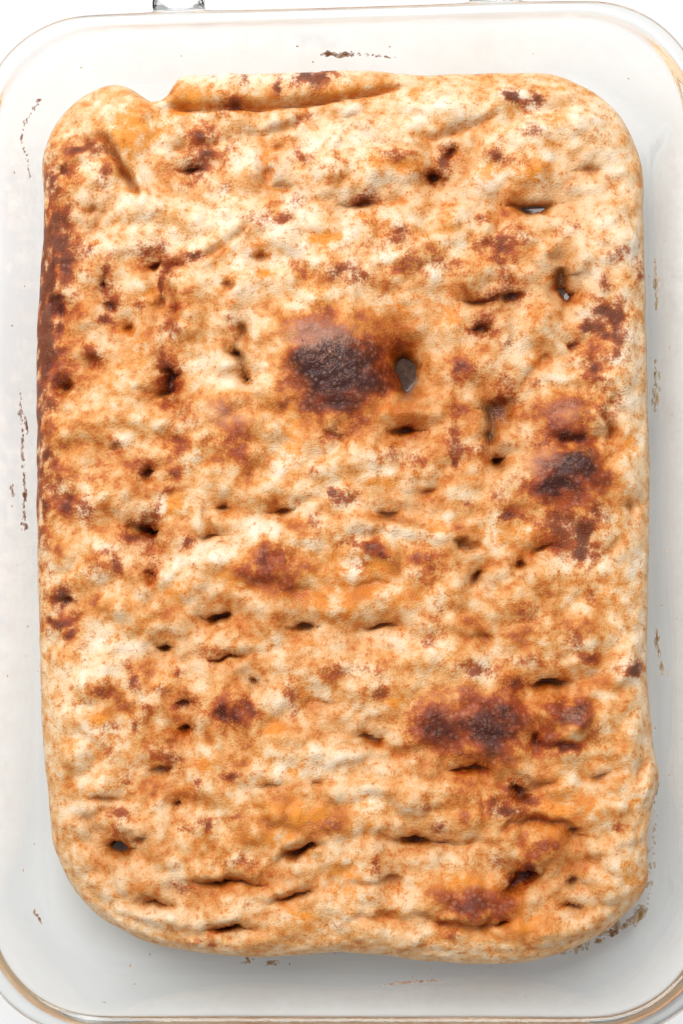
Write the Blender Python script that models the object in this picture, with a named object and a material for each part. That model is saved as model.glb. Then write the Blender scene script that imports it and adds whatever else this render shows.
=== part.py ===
"""Cinnamon roll focaccia in the clear glass baking dish that it was baked in.

The dish stands on z = 0 with the middle of its base at the origin. X runs across the dish and
Y runs along it, from loop handle to loop handle. Lengths are in metres, unless a name says MM.
The dish is one pressed piece of glass and the bread is one baked slab that rests on its floor.
"""

import math
from dataclasses import dataclass

import bmesh
import bpy
from mathutils import Vector, noise

MM = 0.001

# The dish: its rim, seen from above, and its height
RIM_WIDTH = 0.246
RIM_LENGTH = 0.342
RIM_CORNER = 0.039
DISH_HEIGHT = 0.056

# The dish: its wall in section
LIP_WIDTH = 0.007
LIP_DEPTH = 0.0048
LIP_ROUND = 0.0014
WALL = 0.0041
WALL_LEAN = math.radians(12)
FLOOR = 0.0055
INNER_FILLET = 0.016
OUTER_FILLET = 0.018
FOOT_WIDTH = 0.009
FOOT_RECESS = 0.0008
CORNER_SHRINK = 0.42  # how much a corner's radius falls for each unit that a ring steps inwards
CORNER_STEPS = 8
FILLET_STEPS = 4

# The two loop handles at the dish's short ends
HANDLE_WIDTH = 0.126
HANDLE_REACH = 0.026
HANDLE_OVERLAP = 0.004
HANDLE_CORNER = 0.013
HANDLE_TOP = DISH_HEIGHT - 0.0006
HANDLE_THICK = 0.0068
HANDLE_ROUND = 0.0016
GAP_WIDTH = 0.090
GAP_DEPTH = 0.015
GAP_CORNER = 0.0055

# The bread: its outline at its widest level, which is a little off the dish's middle
BREAD_LEFT = -0.1085
BREAD_RIGHT = 0.1055
BREAD_FRONT = -0.1530
BREAD_BACK = 0.1559
BREAD_CENTRE = Vector(((BREAD_LEFT + BREAD_RIGHT) / 2, (BREAD_FRONT + BREAD_BACK) / 2))
CORNER_BACK_RIGHT = 0.040
CORNER_BACK_LEFT = 0.033
CORNER_FRONT_LEFT = 0.047
CORNER_FRONT_RIGHT = 0.031

# The bread: its levels in section
FLOOR_CLEARANCE = 0.0003
BREAD_BASE = FLOOR + FLOOR_CLEARANCE
WIDEST_LEVEL = 0.026
SHOULDER_LEVEL = 0.0375
SHOULDER_INSET = 0.013
DOME_RISE = 0.0045
LOWER_SIDE = ((0.0008, 0.0200), (0.0038, 0.0130), (0.0090, 0.0083))  # inset and level of each ring
BASE_INSET = 0.0165
CELLS_ACROSS = 42
CELLS_ALONG = 60
SHOULDER_START = 0.857  # share of the way out from the middle at which the top starts to roll over
SWELL_SIZE = 0.030
SWELL_RISE = 0.0011
NOISE_LAYER = 3.7


@dataclass(frozen=True)
class Mark:
    """A hump or a hollow on the bread's top: its place, its two widths, its turn and its height."""

    x: float
    y: float
    across: float
    along: float
    turn: float
    height: float


def hump(x, y, across, along, rise, turn=0.0):
    """A blister that the oven raised, given in millimetres and degrees."""
    return Mark(x * MM, y * MM, across * MM, along * MM, math.radians(turn), rise * MM)


def hollow(x, y, across, along, depth, turn=0.0):
    """A fingertip's dimple, given in millimetres and degrees."""
    return Mark(x * MM, y * MM, across * MM, along * MM, math.radians(turn), -depth * MM)


HUMPS = (
    hump(-4, 53, 36, 32, 4.4),
    hump(-38, 27, 30, 28, 2.6, turn=-30),
    hump(76, 31, 24, 19, 2.6),
    hump(77, 13, 27, 17, 3.0),
    hump(-26, -18, 25, 21, 2.4),
    hump(29, -71, 21, 21, 2.0),
    hump(50, -70, 22, 22, 2.2),
    hump(73, -72, 21, 18, 2.2),
    hump(-15, -103, 34, 17, 2.6),
    hump(45, -131, 28, 16, 2.6),
    hump(2, 119, 32, 24, 2.8),
    hump(22, 121, 18, 16, 1.8),
    hump(-54, 74, 15, 22, 1.8),
    hump(64, -115, 23, 18, 2.4),
    hump(-82, 141, 21, 19, 3.0),
)
HOLLOWS = (
    hollow(6, 107, 14, 6, 5),
    hollow(33, 117, 9, 8, 6),
    hollow(66, 107, 17, 8, 8),
    hollow(76, 80, 9, 13, 8),
    hollow(50, 72, 24, 8, 5, turn=10),
    hollow(-60, 49, 8, 17, 6),
    hollow(22, 48, 9, 14, 14, turn=-10),
    hollow(53, 34, 12, 13, 9),
    hollow(-69, -3, 12, 8, 7, turn=20),
    hollow(-43, 2, 9, 9, 5),
    hollow(-21, 2, 9, 8, 6),
    hollow(14, 0, 13, 7, 6),
    hollow(43, -15, 9, 14, 6, turn=-15),
    hollow(-43, -35, 12, 9, 9, turn=15),
    hollow(12, -39, 15, 8, 7, turn=10),
    hollow(-40, -49, 16, 6, 5),
    hollow(69, -59, 17, 8, 8, turn=5),
    hollow(-55, -70, 9, 11, 7),
    hollow(8, -76, 13, 7, 5, turn=-10),
    hollow(-63, -85, 11, 9, 7),
    hollow(48, -90, 18, 8, 6, turn=-15),
    hollow(-77, -113, 11, 9, 9, turn=-15),
    hollow(23, -110, 14, 7, 7),
    hollow(-40, -124, 23, 6, 5),
    hollow(60, -122, 13, 10, 7, turn=40),
)

# The rolled edge of the dough along the back, as a ridge with a crease in front of it
ROLL_FROM = Vector((-0.056, 0.1465))
ROLL_TO = Vector((0.030, 0.1530))
ROLL_HALF_WIDTH = 0.0065
ROLL_RISE = 0.0028
CREASE_OFFSET = -0.0085
CREASE_HALF_WIDTH = 0.0035
CREASE_DEPTH = 0.0040

# Where the outline bulges or dips: place, reach along the edge and how far out, all in millimetres
BULGES = (
    (-84, 150, 12, 0.4),
    (-64, 156, 9, -5.0),
    (-2, -153, 26, -4.0),
    (-50, -153, 26, -1.5),
    (84, -150, 16, -4.0),
    (104, -112, 16, -3.0),
    (105, -90, 8, 0.8),
    (-108, -60, 40, -1.8),
)


def clear_scene():
    """Empties the file of the objects that Blender starts with."""
    for item in list(bpy.data.objects):
        bpy.data.objects.remove(item, do_unlink=True)


def plain_material(name, colour, roughness, transmission=0.0):
    """A Principled material of one colour."""
    material = bpy.data.materials.new(name)
    material.use_nodes = True
    shader = material.node_tree.nodes["Principled BSDF"]
    shader.inputs["Base Color"].default_value = (*colour, 1.0)
    shader.inputs["Roughness"].default_value = roughness
    shader.inputs["Metallic"].default_value = 0.0
    shader.inputs["Transmission Weight"].default_value = transmission
    return material


def object_from(mesh_builder, name, material, sharp_angle):
    """Turns a filled bmesh into an object with outward faces, smooth but for its sharp edges."""
    bmesh.ops.recalc_face_normals(mesh_builder, faces=mesh_builder.faces)
    mesh = bpy.data.meshes.new(name)
    mesh_builder.to_mesh(mesh)
    mesh_builder.free()
    mesh.materials.append(material)
    mesh.shade_smooth()
    mesh.set_sharp_from_angle(angle=sharp_angle)
    made = bpy.data.objects.new(name, mesh)
    bpy.context.scene.collection.objects.link(made)
    return made


def rounded_rectangle(half_x, half_y, corner, centre_y=0.0):
    """Points of a rectangle with round corners, anticlockwise from the top of its right side."""
    points = []
    for quarter, (sign_x, sign_y) in enumerate(((1, 1), (-1, 1), (-1, -1), (1, -1))):
        middle = Vector((sign_x * (half_x - corner), sign_y * (half_y - corner) + centre_y))
        for step in range(CORNER_STEPS + 1):
            angle = math.radians(90 * (quarter + step / CORNER_STEPS))
            points.append(middle + corner * Vector((math.cos(angle), math.sin(angle))))
    return points


def add_ring(mesh_builder, outline, level):
    """Adds the outline's points at one level and returns their vertices."""
    return [mesh_builder.verts.new((point.x, point.y, level)) for point in outline]


def join_rings(mesh_builder, rings, closed=False):
    """Fills quads between each ring and the next, and back to the first ring if closed."""
    pairs = list(zip(rings, rings[1:]))
    if closed:
        pairs.append((rings[-1], rings[0]))
    for lower, upper in pairs:
        count = len(lower)
        for index in range(count):
            following = (index + 1) % count
            mesh_builder.faces.new((lower[index], lower[following], upper[following], upper[index]))


def wall_inset(level):
    """How far the leaning inner wall's face is inside the rim's outer edge at that level."""
    return LIP_WIDTH + (DISH_HEIGHT - level) * math.tan(WALL_LEAN)


def fillet(face_shift, radius, ground):
    """Inset and level of points round the curve from the leaning wall down to the flat ground.

    face_shift is how far outside the inner wall's face this wall's face is.
    """
    centre_level = ground + radius
    touch_level = centre_level - radius * math.sin(WALL_LEAN)
    centre_inset = wall_inset(touch_level) - face_shift + radius * math.cos(WALL_LEAN)
    points = []
    for step in range(FILLET_STEPS + 1):
        angle = WALL_LEAN + (math.pi / 2 - WALL_LEAN) * step / FILLET_STEPS
        inset = centre_inset - radius * math.cos(angle)
        points.append((inset, centre_level - radius * math.sin(angle)))
    return points


def dish_section():
    """Inset and level of the dish's section, from its floor's edge up the inside, over the lip and down."""
    inside = list(reversed(fillet(0.0, INNER_FILLET, FLOOR)))
    outside = fillet(WALL, OUTER_FILLET, 0.0)
    lip_base = DISH_HEIGHT - LIP_DEPTH
    lip = [
        (wall_inset(lip_base), lip_base),
        (LIP_WIDTH + 0.2 * LIP_ROUND, DISH_HEIGHT - LIP_ROUND),
        (LIP_WIDTH - LIP_ROUND, DISH_HEIGHT),
        (LIP_ROUND, DISH_HEIGHT),
        (0.0, DISH_HEIGHT - LIP_ROUND),
        (0.0, lip_base + LIP_ROUND),
        (LIP_ROUND, lip_base),
        (wall_inset(lip_base) - WALL, lip_base - LIP_ROUND),
    ]
    foot_inset = outside[-1][0] + FOOT_WIDTH
    foot = [(foot_inset, 0.0), (foot_inset + FOOT_RECESS, FOOT_RECESS)]
    return inside + lip + outside + foot


def dish_bowl(material):
    """The pressed glass bowl without its handles, as rings lofted along its section."""
    mesh_builder = bmesh.new()
    rings = []
    for inset, level in dish_section():
        outline = rounded_rectangle(
            RIM_WIDTH / 2 - inset, RIM_LENGTH / 2 - inset, RIM_CORNER - CORNER_SHRINK * inset
        )
        rings.append(add_ring(mesh_builder, outline, level))
    join_rings(mesh_builder, rings)
    mesh_builder.faces.new(rings[0])
    mesh_builder.faces.new(rings[-1])
    return object_from(mesh_builder, "baking_dish", material, math.radians(40))


def loop_handle(end, material):
    """One loop handle, a flat frame round its finger gap. end is 1 at the back and -1 at the front."""
    mesh_builder = bmesh.new()
    rim_edge = RIM_LENGTH / 2
    frame_centre = rim_edge + (HANDLE_REACH - HANDLE_OVERLAP) / 2
    frame_half = (HANDLE_REACH + HANDLE_OVERLAP) / 2
    gap_centre = rim_edge + GAP_DEPTH / 2
    low, high = HANDLE_TOP - HANDLE_THICK, HANDLE_TOP

    def ring(half_x, half_y, corner, centre, level):
        outline = rounded_rectangle(half_x, half_y, corner, end * centre)
        return add_ring(mesh_builder, outline, level)

    rings = []
    upwards = ((HANDLE_ROUND, low), (0, low + HANDLE_ROUND), (0, high - HANDLE_ROUND), (HANDLE_ROUND, high))
    for shrink, level in upwards:
        half_x = HANDLE_WIDTH / 2 - shrink
        rings.append(ring(half_x, frame_half - shrink, HANDLE_CORNER - shrink, frame_centre, level))
    for grow, level in reversed(upwards):
        half_x = GAP_WIDTH / 2 + grow
        rings.append(ring(half_x, GAP_DEPTH / 2 + grow, GAP_CORNER + grow, gap_centre, level))
    join_rings(mesh_builder, rings, closed=True)
    name = "handle_back" if end > 0 else "handle_front"
    return object_from(mesh_builder, name, material, math.radians(40))


def make_dish():
    """The bowl with both handles fused to it, so that the dish is one piece of glass."""
    glass = plain_material("clear_glass", (0.90, 0.95, 0.93), 0.03, transmission=1.0)
    dish = dish_bowl(glass)
    for end in (1, -1):
        handle = loop_handle(end, glass)
        handle.hide_render = True
        handle.display_type = "WIRE"
        union = dish.modifiers.new(handle.name, "BOOLEAN")
        union.operation = "UNION"
        union.solver = "EXACT"
        union.object = handle
    return dish


def mark_strength(mark, x, y):
    """How much of a mark is felt at a place: 1 at its middle, falling away past its edge."""
    east, north = x - mark.x, y - mark.y
    along_x = east * math.cos(mark.turn) + north * math.sin(mark.turn)
    along_y = north * math.cos(mark.turn) - east * math.sin(mark.turn)
    distance = math.hypot(along_x / (mark.across / 2), along_y / (mark.along / 2))
    return math.exp(-(distance ** 2.4))


def roll_relief(x, y):
    """The rolled edge along the back and the crease in front of it."""
    run = ROLL_TO - ROLL_FROM
    place = Vector((x, y)) - ROLL_FROM
    share = place.dot(run) / run.length_squared
    off_line = (run.x * place.y - run.y * place.x) / run.length
    past_end = max(0.0, -share, share - 1.0) * run.length
    fade = math.exp(-((past_end / ROLL_HALF_WIDTH) ** 2))
    ridge = ROLL_RISE * math.exp(-((off_line / ROLL_HALF_WIDTH) ** 2))
    crease = CREASE_DEPTH * math.exp(-(((off_line - CREASE_OFFSET) / CREASE_HALF_WIDTH) ** 2))
    return fade * (ridge - crease)


def top_relief(x, y):
    """How far the bread's top stands above or below its smooth dome."""
    swell = SWELL_RISE * noise.noise(Vector((x / SWELL_SIZE, y / SWELL_SIZE, NOISE_LAYER)))
    marks = sum(mark.height * mark_strength(mark, x, y) for mark in HUMPS + HOLLOWS)
    return swell + marks + roll_relief(x, y)


def corner_of_bread(sign_x, sign_y):
    """The radius of the outline's corner in that quarter."""
    if sign_y > 0:
        return CORNER_BACK_RIGHT if sign_x > 0 else CORNER_BACK_LEFT
    return CORNER_FRONT_RIGHT if sign_x > 0 else CORNER_FRONT_LEFT


def bulge_at(point):
    """How far the outline stands out of its rounded rectangle near a point."""
    total = 0.0
    for x, y, reach, out in BULGES:
        distance = math.hypot(point.x - x * MM, point.y - y * MM) / (reach * MM)
        total += out * MM * math.exp(-distance * distance)
    return total


def ring_point(east, north, inset):
    """A point on the bread's outline moved inwards, for a direction on the square from -1 to 1.

    The outline's corners are arcs, on which the square's corners are laid out evenly.
    """
    half_x = (BREAD_RIGHT - BREAD_LEFT) / 2 - inset
    half_y = (BREAD_BACK - BREAD_FRONT) / 2 - inset
    sign_x, sign_y = (1 if east >= 0 else -1), (1 if north >= 0 else -1)
    corner = corner_of_bread(sign_x, sign_y) - CORNER_SHRINK * inset
    x, y = abs(east) * half_x, abs(north) * half_y
    from_corner = max(half_x - x, half_y - y)
    if from_corner >= corner:
        normal = Vector((1.0, 0.0)) if half_x - x < half_y - y else Vector((0.0, 1.0))
    else:
        turn = math.pi / 4 * from_corner / corner
        angle = math.pi / 4 + (turn if half_y - y < half_x - x else -turn)
        normal = Vector((math.cos(angle), math.sin(angle)))
        x, y = half_x - corner + corner * normal.x, half_y - corner + corner * normal.y
    point = BREAD_CENTRE + Vector((sign_x * x, sign_y * y))
    return point + bulge_at(point) * Vector((sign_x * normal.x, sign_y * normal.y))


def crown_point(east, north):
    """A point of the bread's upper skin, from the dome's middle out to its widest level."""
    spread = max(abs(east), abs(north))
    roll = max(0.0, spread - SHOULDER_START) / (1 - SHOULDER_START) * math.pi / 2
    point = BREAD_CENTRE
    if spread > 0:
        point = ring_point(east / spread, north / spread, SHOULDER_INSET * (1 - math.sin(roll)))
        point = BREAD_CENTRE + (point - BREAD_CENTRE) * min(1.0, spread / SHOULDER_START)
    dome = DOME_RISE * (1 - (point.x / BREAD_RIGHT) ** 2) * (1 - (point.y / BREAD_BACK) ** 2)
    rise = (SHOULDER_LEVEL - WIDEST_LEVEL) * math.cos(roll) + max(dome, 0.0)
    lift = top_relief(point.x, point.y)
    level = WIDEST_LEVEL + rise + lift * math.cos(roll) ** 2
    return Vector((point.x, point.y, level))


def make_focaccia():
    """The baked slab: a dimpled crown, a side that tucks in towards the floor and a flat base."""
    crust = plain_material("baked_crust", (0.62, 0.36, 0.15), 0.55)
    mesh_builder = bmesh.new()
    grid = []
    for row in range(CELLS_ALONG + 1):
        north = 2 * row / CELLS_ALONG - 1
        line = [crown_point(2 * column / CELLS_ACROSS - 1, north) for column in range(CELLS_ACROSS + 1)]
        grid.append([mesh_builder.verts.new(point) for point in line])
    for lower, upper in zip(grid, grid[1:]):
        for column in range(CELLS_ACROSS):
            mesh_builder.faces.new((lower[column], lower[column + 1], upper[column + 1], upper[column]))

    front = [(2 * column / CELLS_ACROSS - 1, -1.0) for column in range(CELLS_ACROSS)]
    right = [(1.0, 2 * row / CELLS_ALONG - 1) for row in range(CELLS_ALONG)]
    back = [(-east, 1.0) for east, _ in front]
    left = [(-1.0, -north) for _, north in right]
    directions = front + right + back + left
    edge = grid[0][:-1] + [line[-1] for line in grid[:-1]]
    edge += list(reversed(grid[-1]))[:-1] + [line[0] for line in reversed(grid)][:-1]
    rings = [edge]
    for inset, level in (*LOWER_SIDE, (BASE_INSET, BREAD_BASE)):
        outline = [ring_point(east, north, inset) for east, north in directions]
        rings.append(add_ring(mesh_builder, outline, level))
    join_rings(mesh_builder, rings)
    mesh_builder.faces.new(rings[-1])
    return object_from(mesh_builder, "focaccia", crust, math.radians(60))


def main():
    """Builds the dish and the bread in it."""
    clear_scene()
    make_dish()
    make_focaccia()


main()
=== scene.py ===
"""The looks of a cinnamon roll focaccia in the clear glass dish that it was baked in.

The slab was poked all over with fingertips, rolled over at its back edge and baked until its
blisters burnt. Cinnamon runs through the dough and shows as reddish streaks, oil pools in the
deeper dimples, and what boiled over has dried on the glass. Sizes are in metres unless a name or
a docstring says millimetres. X runs across the dish, Y along it from handle to handle, Z up.
"""

import logging
import math
from collections.abc import Callable
from dataclasses import dataclass, field
from enum import Enum

import bmesh
import bpy
import numpy as np
from mathutils import Matrix, Vector, noise
from mathutils.bvhtree import BVHTree


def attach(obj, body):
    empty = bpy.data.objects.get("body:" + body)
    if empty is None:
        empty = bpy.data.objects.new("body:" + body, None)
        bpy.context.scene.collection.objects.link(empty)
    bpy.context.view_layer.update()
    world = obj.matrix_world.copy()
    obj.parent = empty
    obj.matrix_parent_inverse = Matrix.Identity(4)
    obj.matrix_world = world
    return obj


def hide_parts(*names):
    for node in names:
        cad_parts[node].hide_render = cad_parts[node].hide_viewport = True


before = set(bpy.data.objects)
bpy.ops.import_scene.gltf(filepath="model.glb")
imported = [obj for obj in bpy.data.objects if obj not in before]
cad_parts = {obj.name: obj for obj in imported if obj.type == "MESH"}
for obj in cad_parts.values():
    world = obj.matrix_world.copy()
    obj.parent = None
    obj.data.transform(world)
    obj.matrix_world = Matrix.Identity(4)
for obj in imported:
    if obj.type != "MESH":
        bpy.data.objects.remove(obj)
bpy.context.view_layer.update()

MM = 0.001
LOG = logging.getLogger("focaccia")


# ---------------------------------------------------------------------------------------------
# Colours and nodes
# ---------------------------------------------------------------------------------------------


def linear(hex_colour: str) -> tuple[float, float, float, float]:
    """Turns an sRGB hex colour into the linear RGBA that Blender's nodes take.

    Args:
        hex_colour: The colour as "#rrggbb".

    Returns:
        The linear colour with an alpha of 1.
    """
    channels = [int(hex_colour[start:start + 2], 16) / 255 for start in (1, 3, 5)]
    straight = [c / 12.92 if c <= 0.04045 else ((c + 0.055) / 1.055) ** 2.4 for c in channels]
    return (*straight, 1.0)


def add_node(tree: bpy.types.NodeTree, kind: str, inputs: dict | None = None,
             stops: tuple = (), **settings: object) -> bpy.types.Node:
    """Adds a node, with its settings, its values and its links.

    Args:
        tree: The material's node tree.
        kind: The node's type name.
        inputs: Socket name or index to a value, or to the output socket that feeds it.
        stops: For a colour ramp, its (position, hex colour) pairs.
        settings: The node's own properties.

    Returns:
        The new node.
    """
    node = tree.nodes.new(kind)
    for name, value in settings.items():
        setattr(node, name, value)
    for key, value in (inputs or {}).items():
        if isinstance(value, bpy.types.NodeSocket):
            tree.links.new(value, node.inputs[key])
        else:
            node.inputs[key].default_value = value
    for index, (position, colour) in enumerate(stops):
        ramp = node.color_ramp.elements
        stop = ramp[index] if index < 2 else ramp.new(position)
        stop.position = position
        stop.color = linear(colour)
    return node


def new_material(name: str) -> tuple[bpy.types.Material, bpy.types.NodeTree, bpy.types.Node]:
    """Makes a node material.

    Args:
        name: The material's name.

    Returns:
        The material, its node tree and its Principled shader.
    """
    material = bpy.data.materials.new(name)
    material.use_nodes = True
    return material, material.node_tree, material.node_tree.nodes["Principled BSDF"]


# ---------------------------------------------------------------------------------------------
# Finishes
# ---------------------------------------------------------------------------------------------


class Mask(Enum):
    """What colours a place on the crust. The values are the mesh's attributes."""

    TOAST = "toast"
    CINNAMON = "cinnamon"
    AMBER = "amber"
    # Pale bloom on blisters, laid mostly on their lit back sides, so partly a painted sheen
    BLOOM = "bloom_and_sheen"
    # Painted shade: darkens the crust's colour in the dimples and creases
    HOLLOW_SHADE = "hollow"
    WET = "wet"


@dataclass(frozen=True)
class PressedGlass:
    """Soda-lime glass, pressed in a mould and fire-polished: clear, glossy, faintly grey-green."""

    tint: str = "#fafcfb"
    clear: str = "#fafbfa"
    ior: float = 1.50
    roughness: float = 0.015

    def make(self) -> bpy.types.Material:
        """Builds the glass."""
        material, tree, shader = new_material("pressed_soda_lime_glass")
        shader.inputs["Base Color"].default_value = linear(self.tint)
        shader.inputs["Roughness"].default_value = self.roughness
        shader.inputs["IOR"].default_value = self.ior
        shader.inputs["Transmission Weight"].default_value = 1.0
        # Light falls straight through, so that what lies under the glass isn't in the dark
        path = add_node(tree, "ShaderNodeLightPath")
        straight = add_node(tree, "ShaderNodeMath", {
            0: path.outputs["Is Shadow Ray"], 1: path.outputs["Is Diffuse Ray"]}, operation="MAXIMUM")
        clear = add_node(tree, "ShaderNodeBsdfTransparent", {"Color": linear(self.clear)})
        mixed = add_node(tree, "ShaderNodeMixShader", {
            0: straight.outputs[0], 1: shader.outputs["BSDF"], 2: clear.outputs["BSDF"]})
        tree.links.new(mixed.outputs["Shader"], tree.nodes["Material Output"].inputs["Surface"])
        return material


@dataclass(frozen=True)
class BakedCrust:
    """Oiled yeast dough, baked in an oven: cream where it stayed pale, gold to char where it browned.

    The browning, the cinnamon, the frying oil, the bloom on thin blisters (partly a painted sheen
    on their lit back sides), the painted shade in the dimples and creases and the wetness come from
    the mesh's own attributes, and noise in real sizes breaks up their edges.
    """

    patch_mm: float = 8.0
    mottle_mm: float = 2.6
    grain_mm: float = 0.8
    bubble_mm: float = 2.1
    pore_mm: float = 0.5
    relief_mm: float = 0.5
    relief_strength: float = 0.55
    cinnamon_light: str = "#a5471a"
    cinnamon_dark: str = "#531b0b"
    amber: str = "#dd8a2c"
    # The pale bloom's colour, which on the lit back sides of blisters is partly a painted sheen
    bloom_and_sheen: str = "#bd9078"
    bubble: str = "#c69278"
    speck: str = "#7c3b20"
    char: str = "#40211c"
    browning: tuple = (
        (0.0, "#e7d5be"), (1.0, "#3c1f1b"), (0.20, "#dfbf98"), (0.36, "#d39b60"), (0.50, "#c17631"),
        (0.62, "#96461c"), (0.74, "#6a2f1a"), (0.84, "#542618"), (0.92, "#47221a"))
    # Painted shade: the colour is multiplied darker towards the bottom of the dimples and creases
    hollow_shade_ramp: tuple = (
        (0.0, "#ffffff"), (1.0, "#33201a"), (0.25, "#ecd3b4"), (0.5, "#c39a70"), (0.75, "#7d5739"))
    ior: float = 1.45
    specular: float = 0.32
    dry_roughness: float = 0.60
    oiled_roughness: float = 0.24

    def _browning(self, tree: bpy.types.NodeTree, masks: dict, noises: dict) -> bpy.types.NodeSocket:
        """The heat's browning, from 0 for pale dough to 1 for char.

        Args:
            tree: The material's node tree.
            masks: The mesh's attributes by name.
            noises: The noises by name, each around one half.

        Returns:
            The browning at a point.
        """
        shares = {"patch": 0.44, "mottle": 0.40, "grain": 0.18}
        total = masks["toast"]
        for name, share in shares.items():
            total = add_node(tree, "ShaderNodeMath", {
                0: noises[name], 1: share, 2: total}, operation="MULTIPLY_ADD").outputs[0]
        middle = sum(shares.values()) / 2
        return add_node(tree, "ShaderNodeMath", {0: total, 1: middle}, operation="SUBTRACT").outputs[0]

    def _spread(self, tree: bpy.types.NodeTree, mask: bpy.types.NodeSocket, noises: dict,
                low: float, high: float, most: float) -> bpy.types.NodeSocket:
        """How much of a stain lies at a point: whole where its mask is high, in spots where it thins.

        Args:
            tree: The material's node tree.
            mask: The stain's attribute.
            noises: The noises by name.
            low: The level at which the stain begins to show.
            high: The level at which it covers.
            most: How much of it covers there.

        Returns:
            The stain's share from 0 to most.
        """
        coarse = add_node(tree, "ShaderNodeMath", {
            0: noises["mottle"], 1: 1.3, 2: mask}, operation="MULTIPLY_ADD").outputs[0]
        both = add_node(tree, "ShaderNodeMath", {
            0: noises["grain"], 1: 0.9, 2: coarse}, operation="MULTIPLY_ADD").outputs[0]
        return add_node(tree, "ShaderNodeMapRange", {
            "Value": both, "From Min": low + 1.1, "From Max": high + 1.1, "To Max": most},
            interpolation_type="SMOOTHSTEP").outputs["Result"]

    def make(self) -> bpy.types.Material:
        """Builds the crust's colour, sheen and fine relief."""
        material, tree, shader = new_material("baked_cinnamon_crust")
        place = add_node(tree, "ShaderNodeTexCoord").outputs["Object"]
        masks = {mask.value: add_node(
            tree, "ShaderNodeAttribute", attribute_name=mask.value).outputs["Fac"] for mask in Mask}
        sizes = {"patch": (self.patch_mm, 2.0), "mottle": (self.mottle_mm, 2.0),
                 "grain": (self.grain_mm, 1.0), "pore": (self.pore_mm, 1.0)}
        noises = {name: add_node(tree, "ShaderNodeTexNoise", {
            "Vector": place, "Scale": 1 / (size * MM), "Detail": detail}).outputs["Fac"]
            for name, (size, detail) in sizes.items()}
        toast = self._browning(tree, masks, noises)
        surface = add_node(
            tree, "ShaderNodeValToRGB", {"Fac": toast}, stops=self.browning).outputs["Color"]
        shade = add_node(tree, "ShaderNodeMapRange", {
            "Value": masks["cinnamon"], "From Min": 0.35, "From Max": 1.15}).outputs["Result"]
        spice = add_node(tree, "ShaderNodeMix", {
            0: shade, 6: linear(self.cinnamon_light), 7: linear(self.cinnamon_dark)},
            data_type="RGBA").outputs[2]

        # Small bubbles in the skin: some hold dark specks of cinnamon, and burnt ones stand out as domes
        cells = add_node(tree, "ShaderNodeTexVoronoi", {
            "Vector": place, "Scale": 1 / (self.bubble_mm * MM)})
        chosen = add_node(tree, "ShaderNodeSeparateColor", {"Color": cells.outputs["Color"]})
        size = add_node(tree, "ShaderNodeMapRange", {
            "Value": chosen.outputs["Red"], "From Min": 0.66, "To Max": 0.32}).outputs["Result"]
        inside = add_node(tree, "ShaderNodeMath", {
            0: size, 1: cells.outputs["Distance"]}, operation="SUBTRACT").outputs[0]
        dusted = add_node(tree, "ShaderNodeMapRange", {
            "Value": masks["cinnamon"], "From Min": 0.12, "From Max": 0.5,
            "To Max": 0.45}).outputs["Result"]
        speck = add_node(tree, "ShaderNodeMapRange", {
            "Value": inside, "From Min": -0.05, "From Max": 0.12, "To Max": dusted}).outputs["Result"]
        dome = add_node(tree, "ShaderNodeMapRange", {
            "Value": cells.outputs["Distance"], "From Min": 0.05, "From Max": 0.50,
            "To Min": 1.0, "To Max": 0.0}).outputs["Result"]
        char = add_node(tree, "ShaderNodeMapRange", {
            "Value": toast, "From Min": 0.76, "From Max": 1.02, "To Max": 0.88}).outputs["Result"]
        burnt = add_node(tree, "ShaderNodeMapRange", {
            "Value": toast, "From Min": 0.72, "From Max": 0.90, "To Min": 0.36,
            "To Max": 0.16}).outputs["Result"]
        fried = add_node(tree, "ShaderNodeMapRange", {
            "Value": toast, "From Min": 0.42, "From Max": 0.70, "To Max": burnt}).outputs["Result"]
        pale = add_node(tree, "ShaderNodeMath", {0: dome, 1: fried}, operation="MULTIPLY").outputs[0]

        # The last layer is the bloom, partly a painted sheen on the lit back sides of blisters
        layers = (
            (self._spread(tree, masks["amber"], noises, 0.16, 0.90, 0.85), linear(self.amber)),
            (self._spread(tree, masks["cinnamon"], noises, 0.08, 0.84, 0.92), spice),
            (speck, linear(self.speck)),
            (char, linear(self.char)),
            (pale, linear(self.bubble)),
            (self._spread(tree, masks["bloom_and_sheen"], noises, 0.20, 1.0, 0.42), linear(self.bloom_and_sheen)))
        for amount, tint in layers:
            surface = add_node(tree, "ShaderNodeMix", {
                0: amount, 6: surface, 7: tint}, data_type="RGBA").outputs[2]
        # Painted shade: the hollow mask multiplies the colour darker in the dimples and creases, on top
        # of their real shadows
        depth = add_node(
            tree, "ShaderNodeValToRGB", {"Fac": masks["hollow"]}, stops=self.hollow_shade_ramp).outputs["Color"]
        with_painted_shade = add_node(tree, "ShaderNodeMix", {
            0: 1.0, 6: surface, 7: depth}, data_type="RGBA", blend_type="MULTIPLY").outputs[2]
        tree.links.new(with_painted_shade, shader.inputs["Base Color"])

        oily = add_node(tree, "ShaderNodeMath", {
            0: noises["patch"], 1: 0.8, 2: masks["wet"]}, operation="MULTIPLY_ADD").outputs[0]
        rough = add_node(tree, "ShaderNodeMapRange", {
            "Value": oily, "From Min": 0.25, "From Max": 1.2, "To Min": self.dry_roughness,
            "To Max": self.oiled_roughness})
        tree.links.new(rough.outputs["Result"], shader.inputs["Roughness"])
        shader.inputs["IOR"].default_value = self.ior
        shader.inputs["Specular IOR Level"].default_value = self.specular

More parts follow.
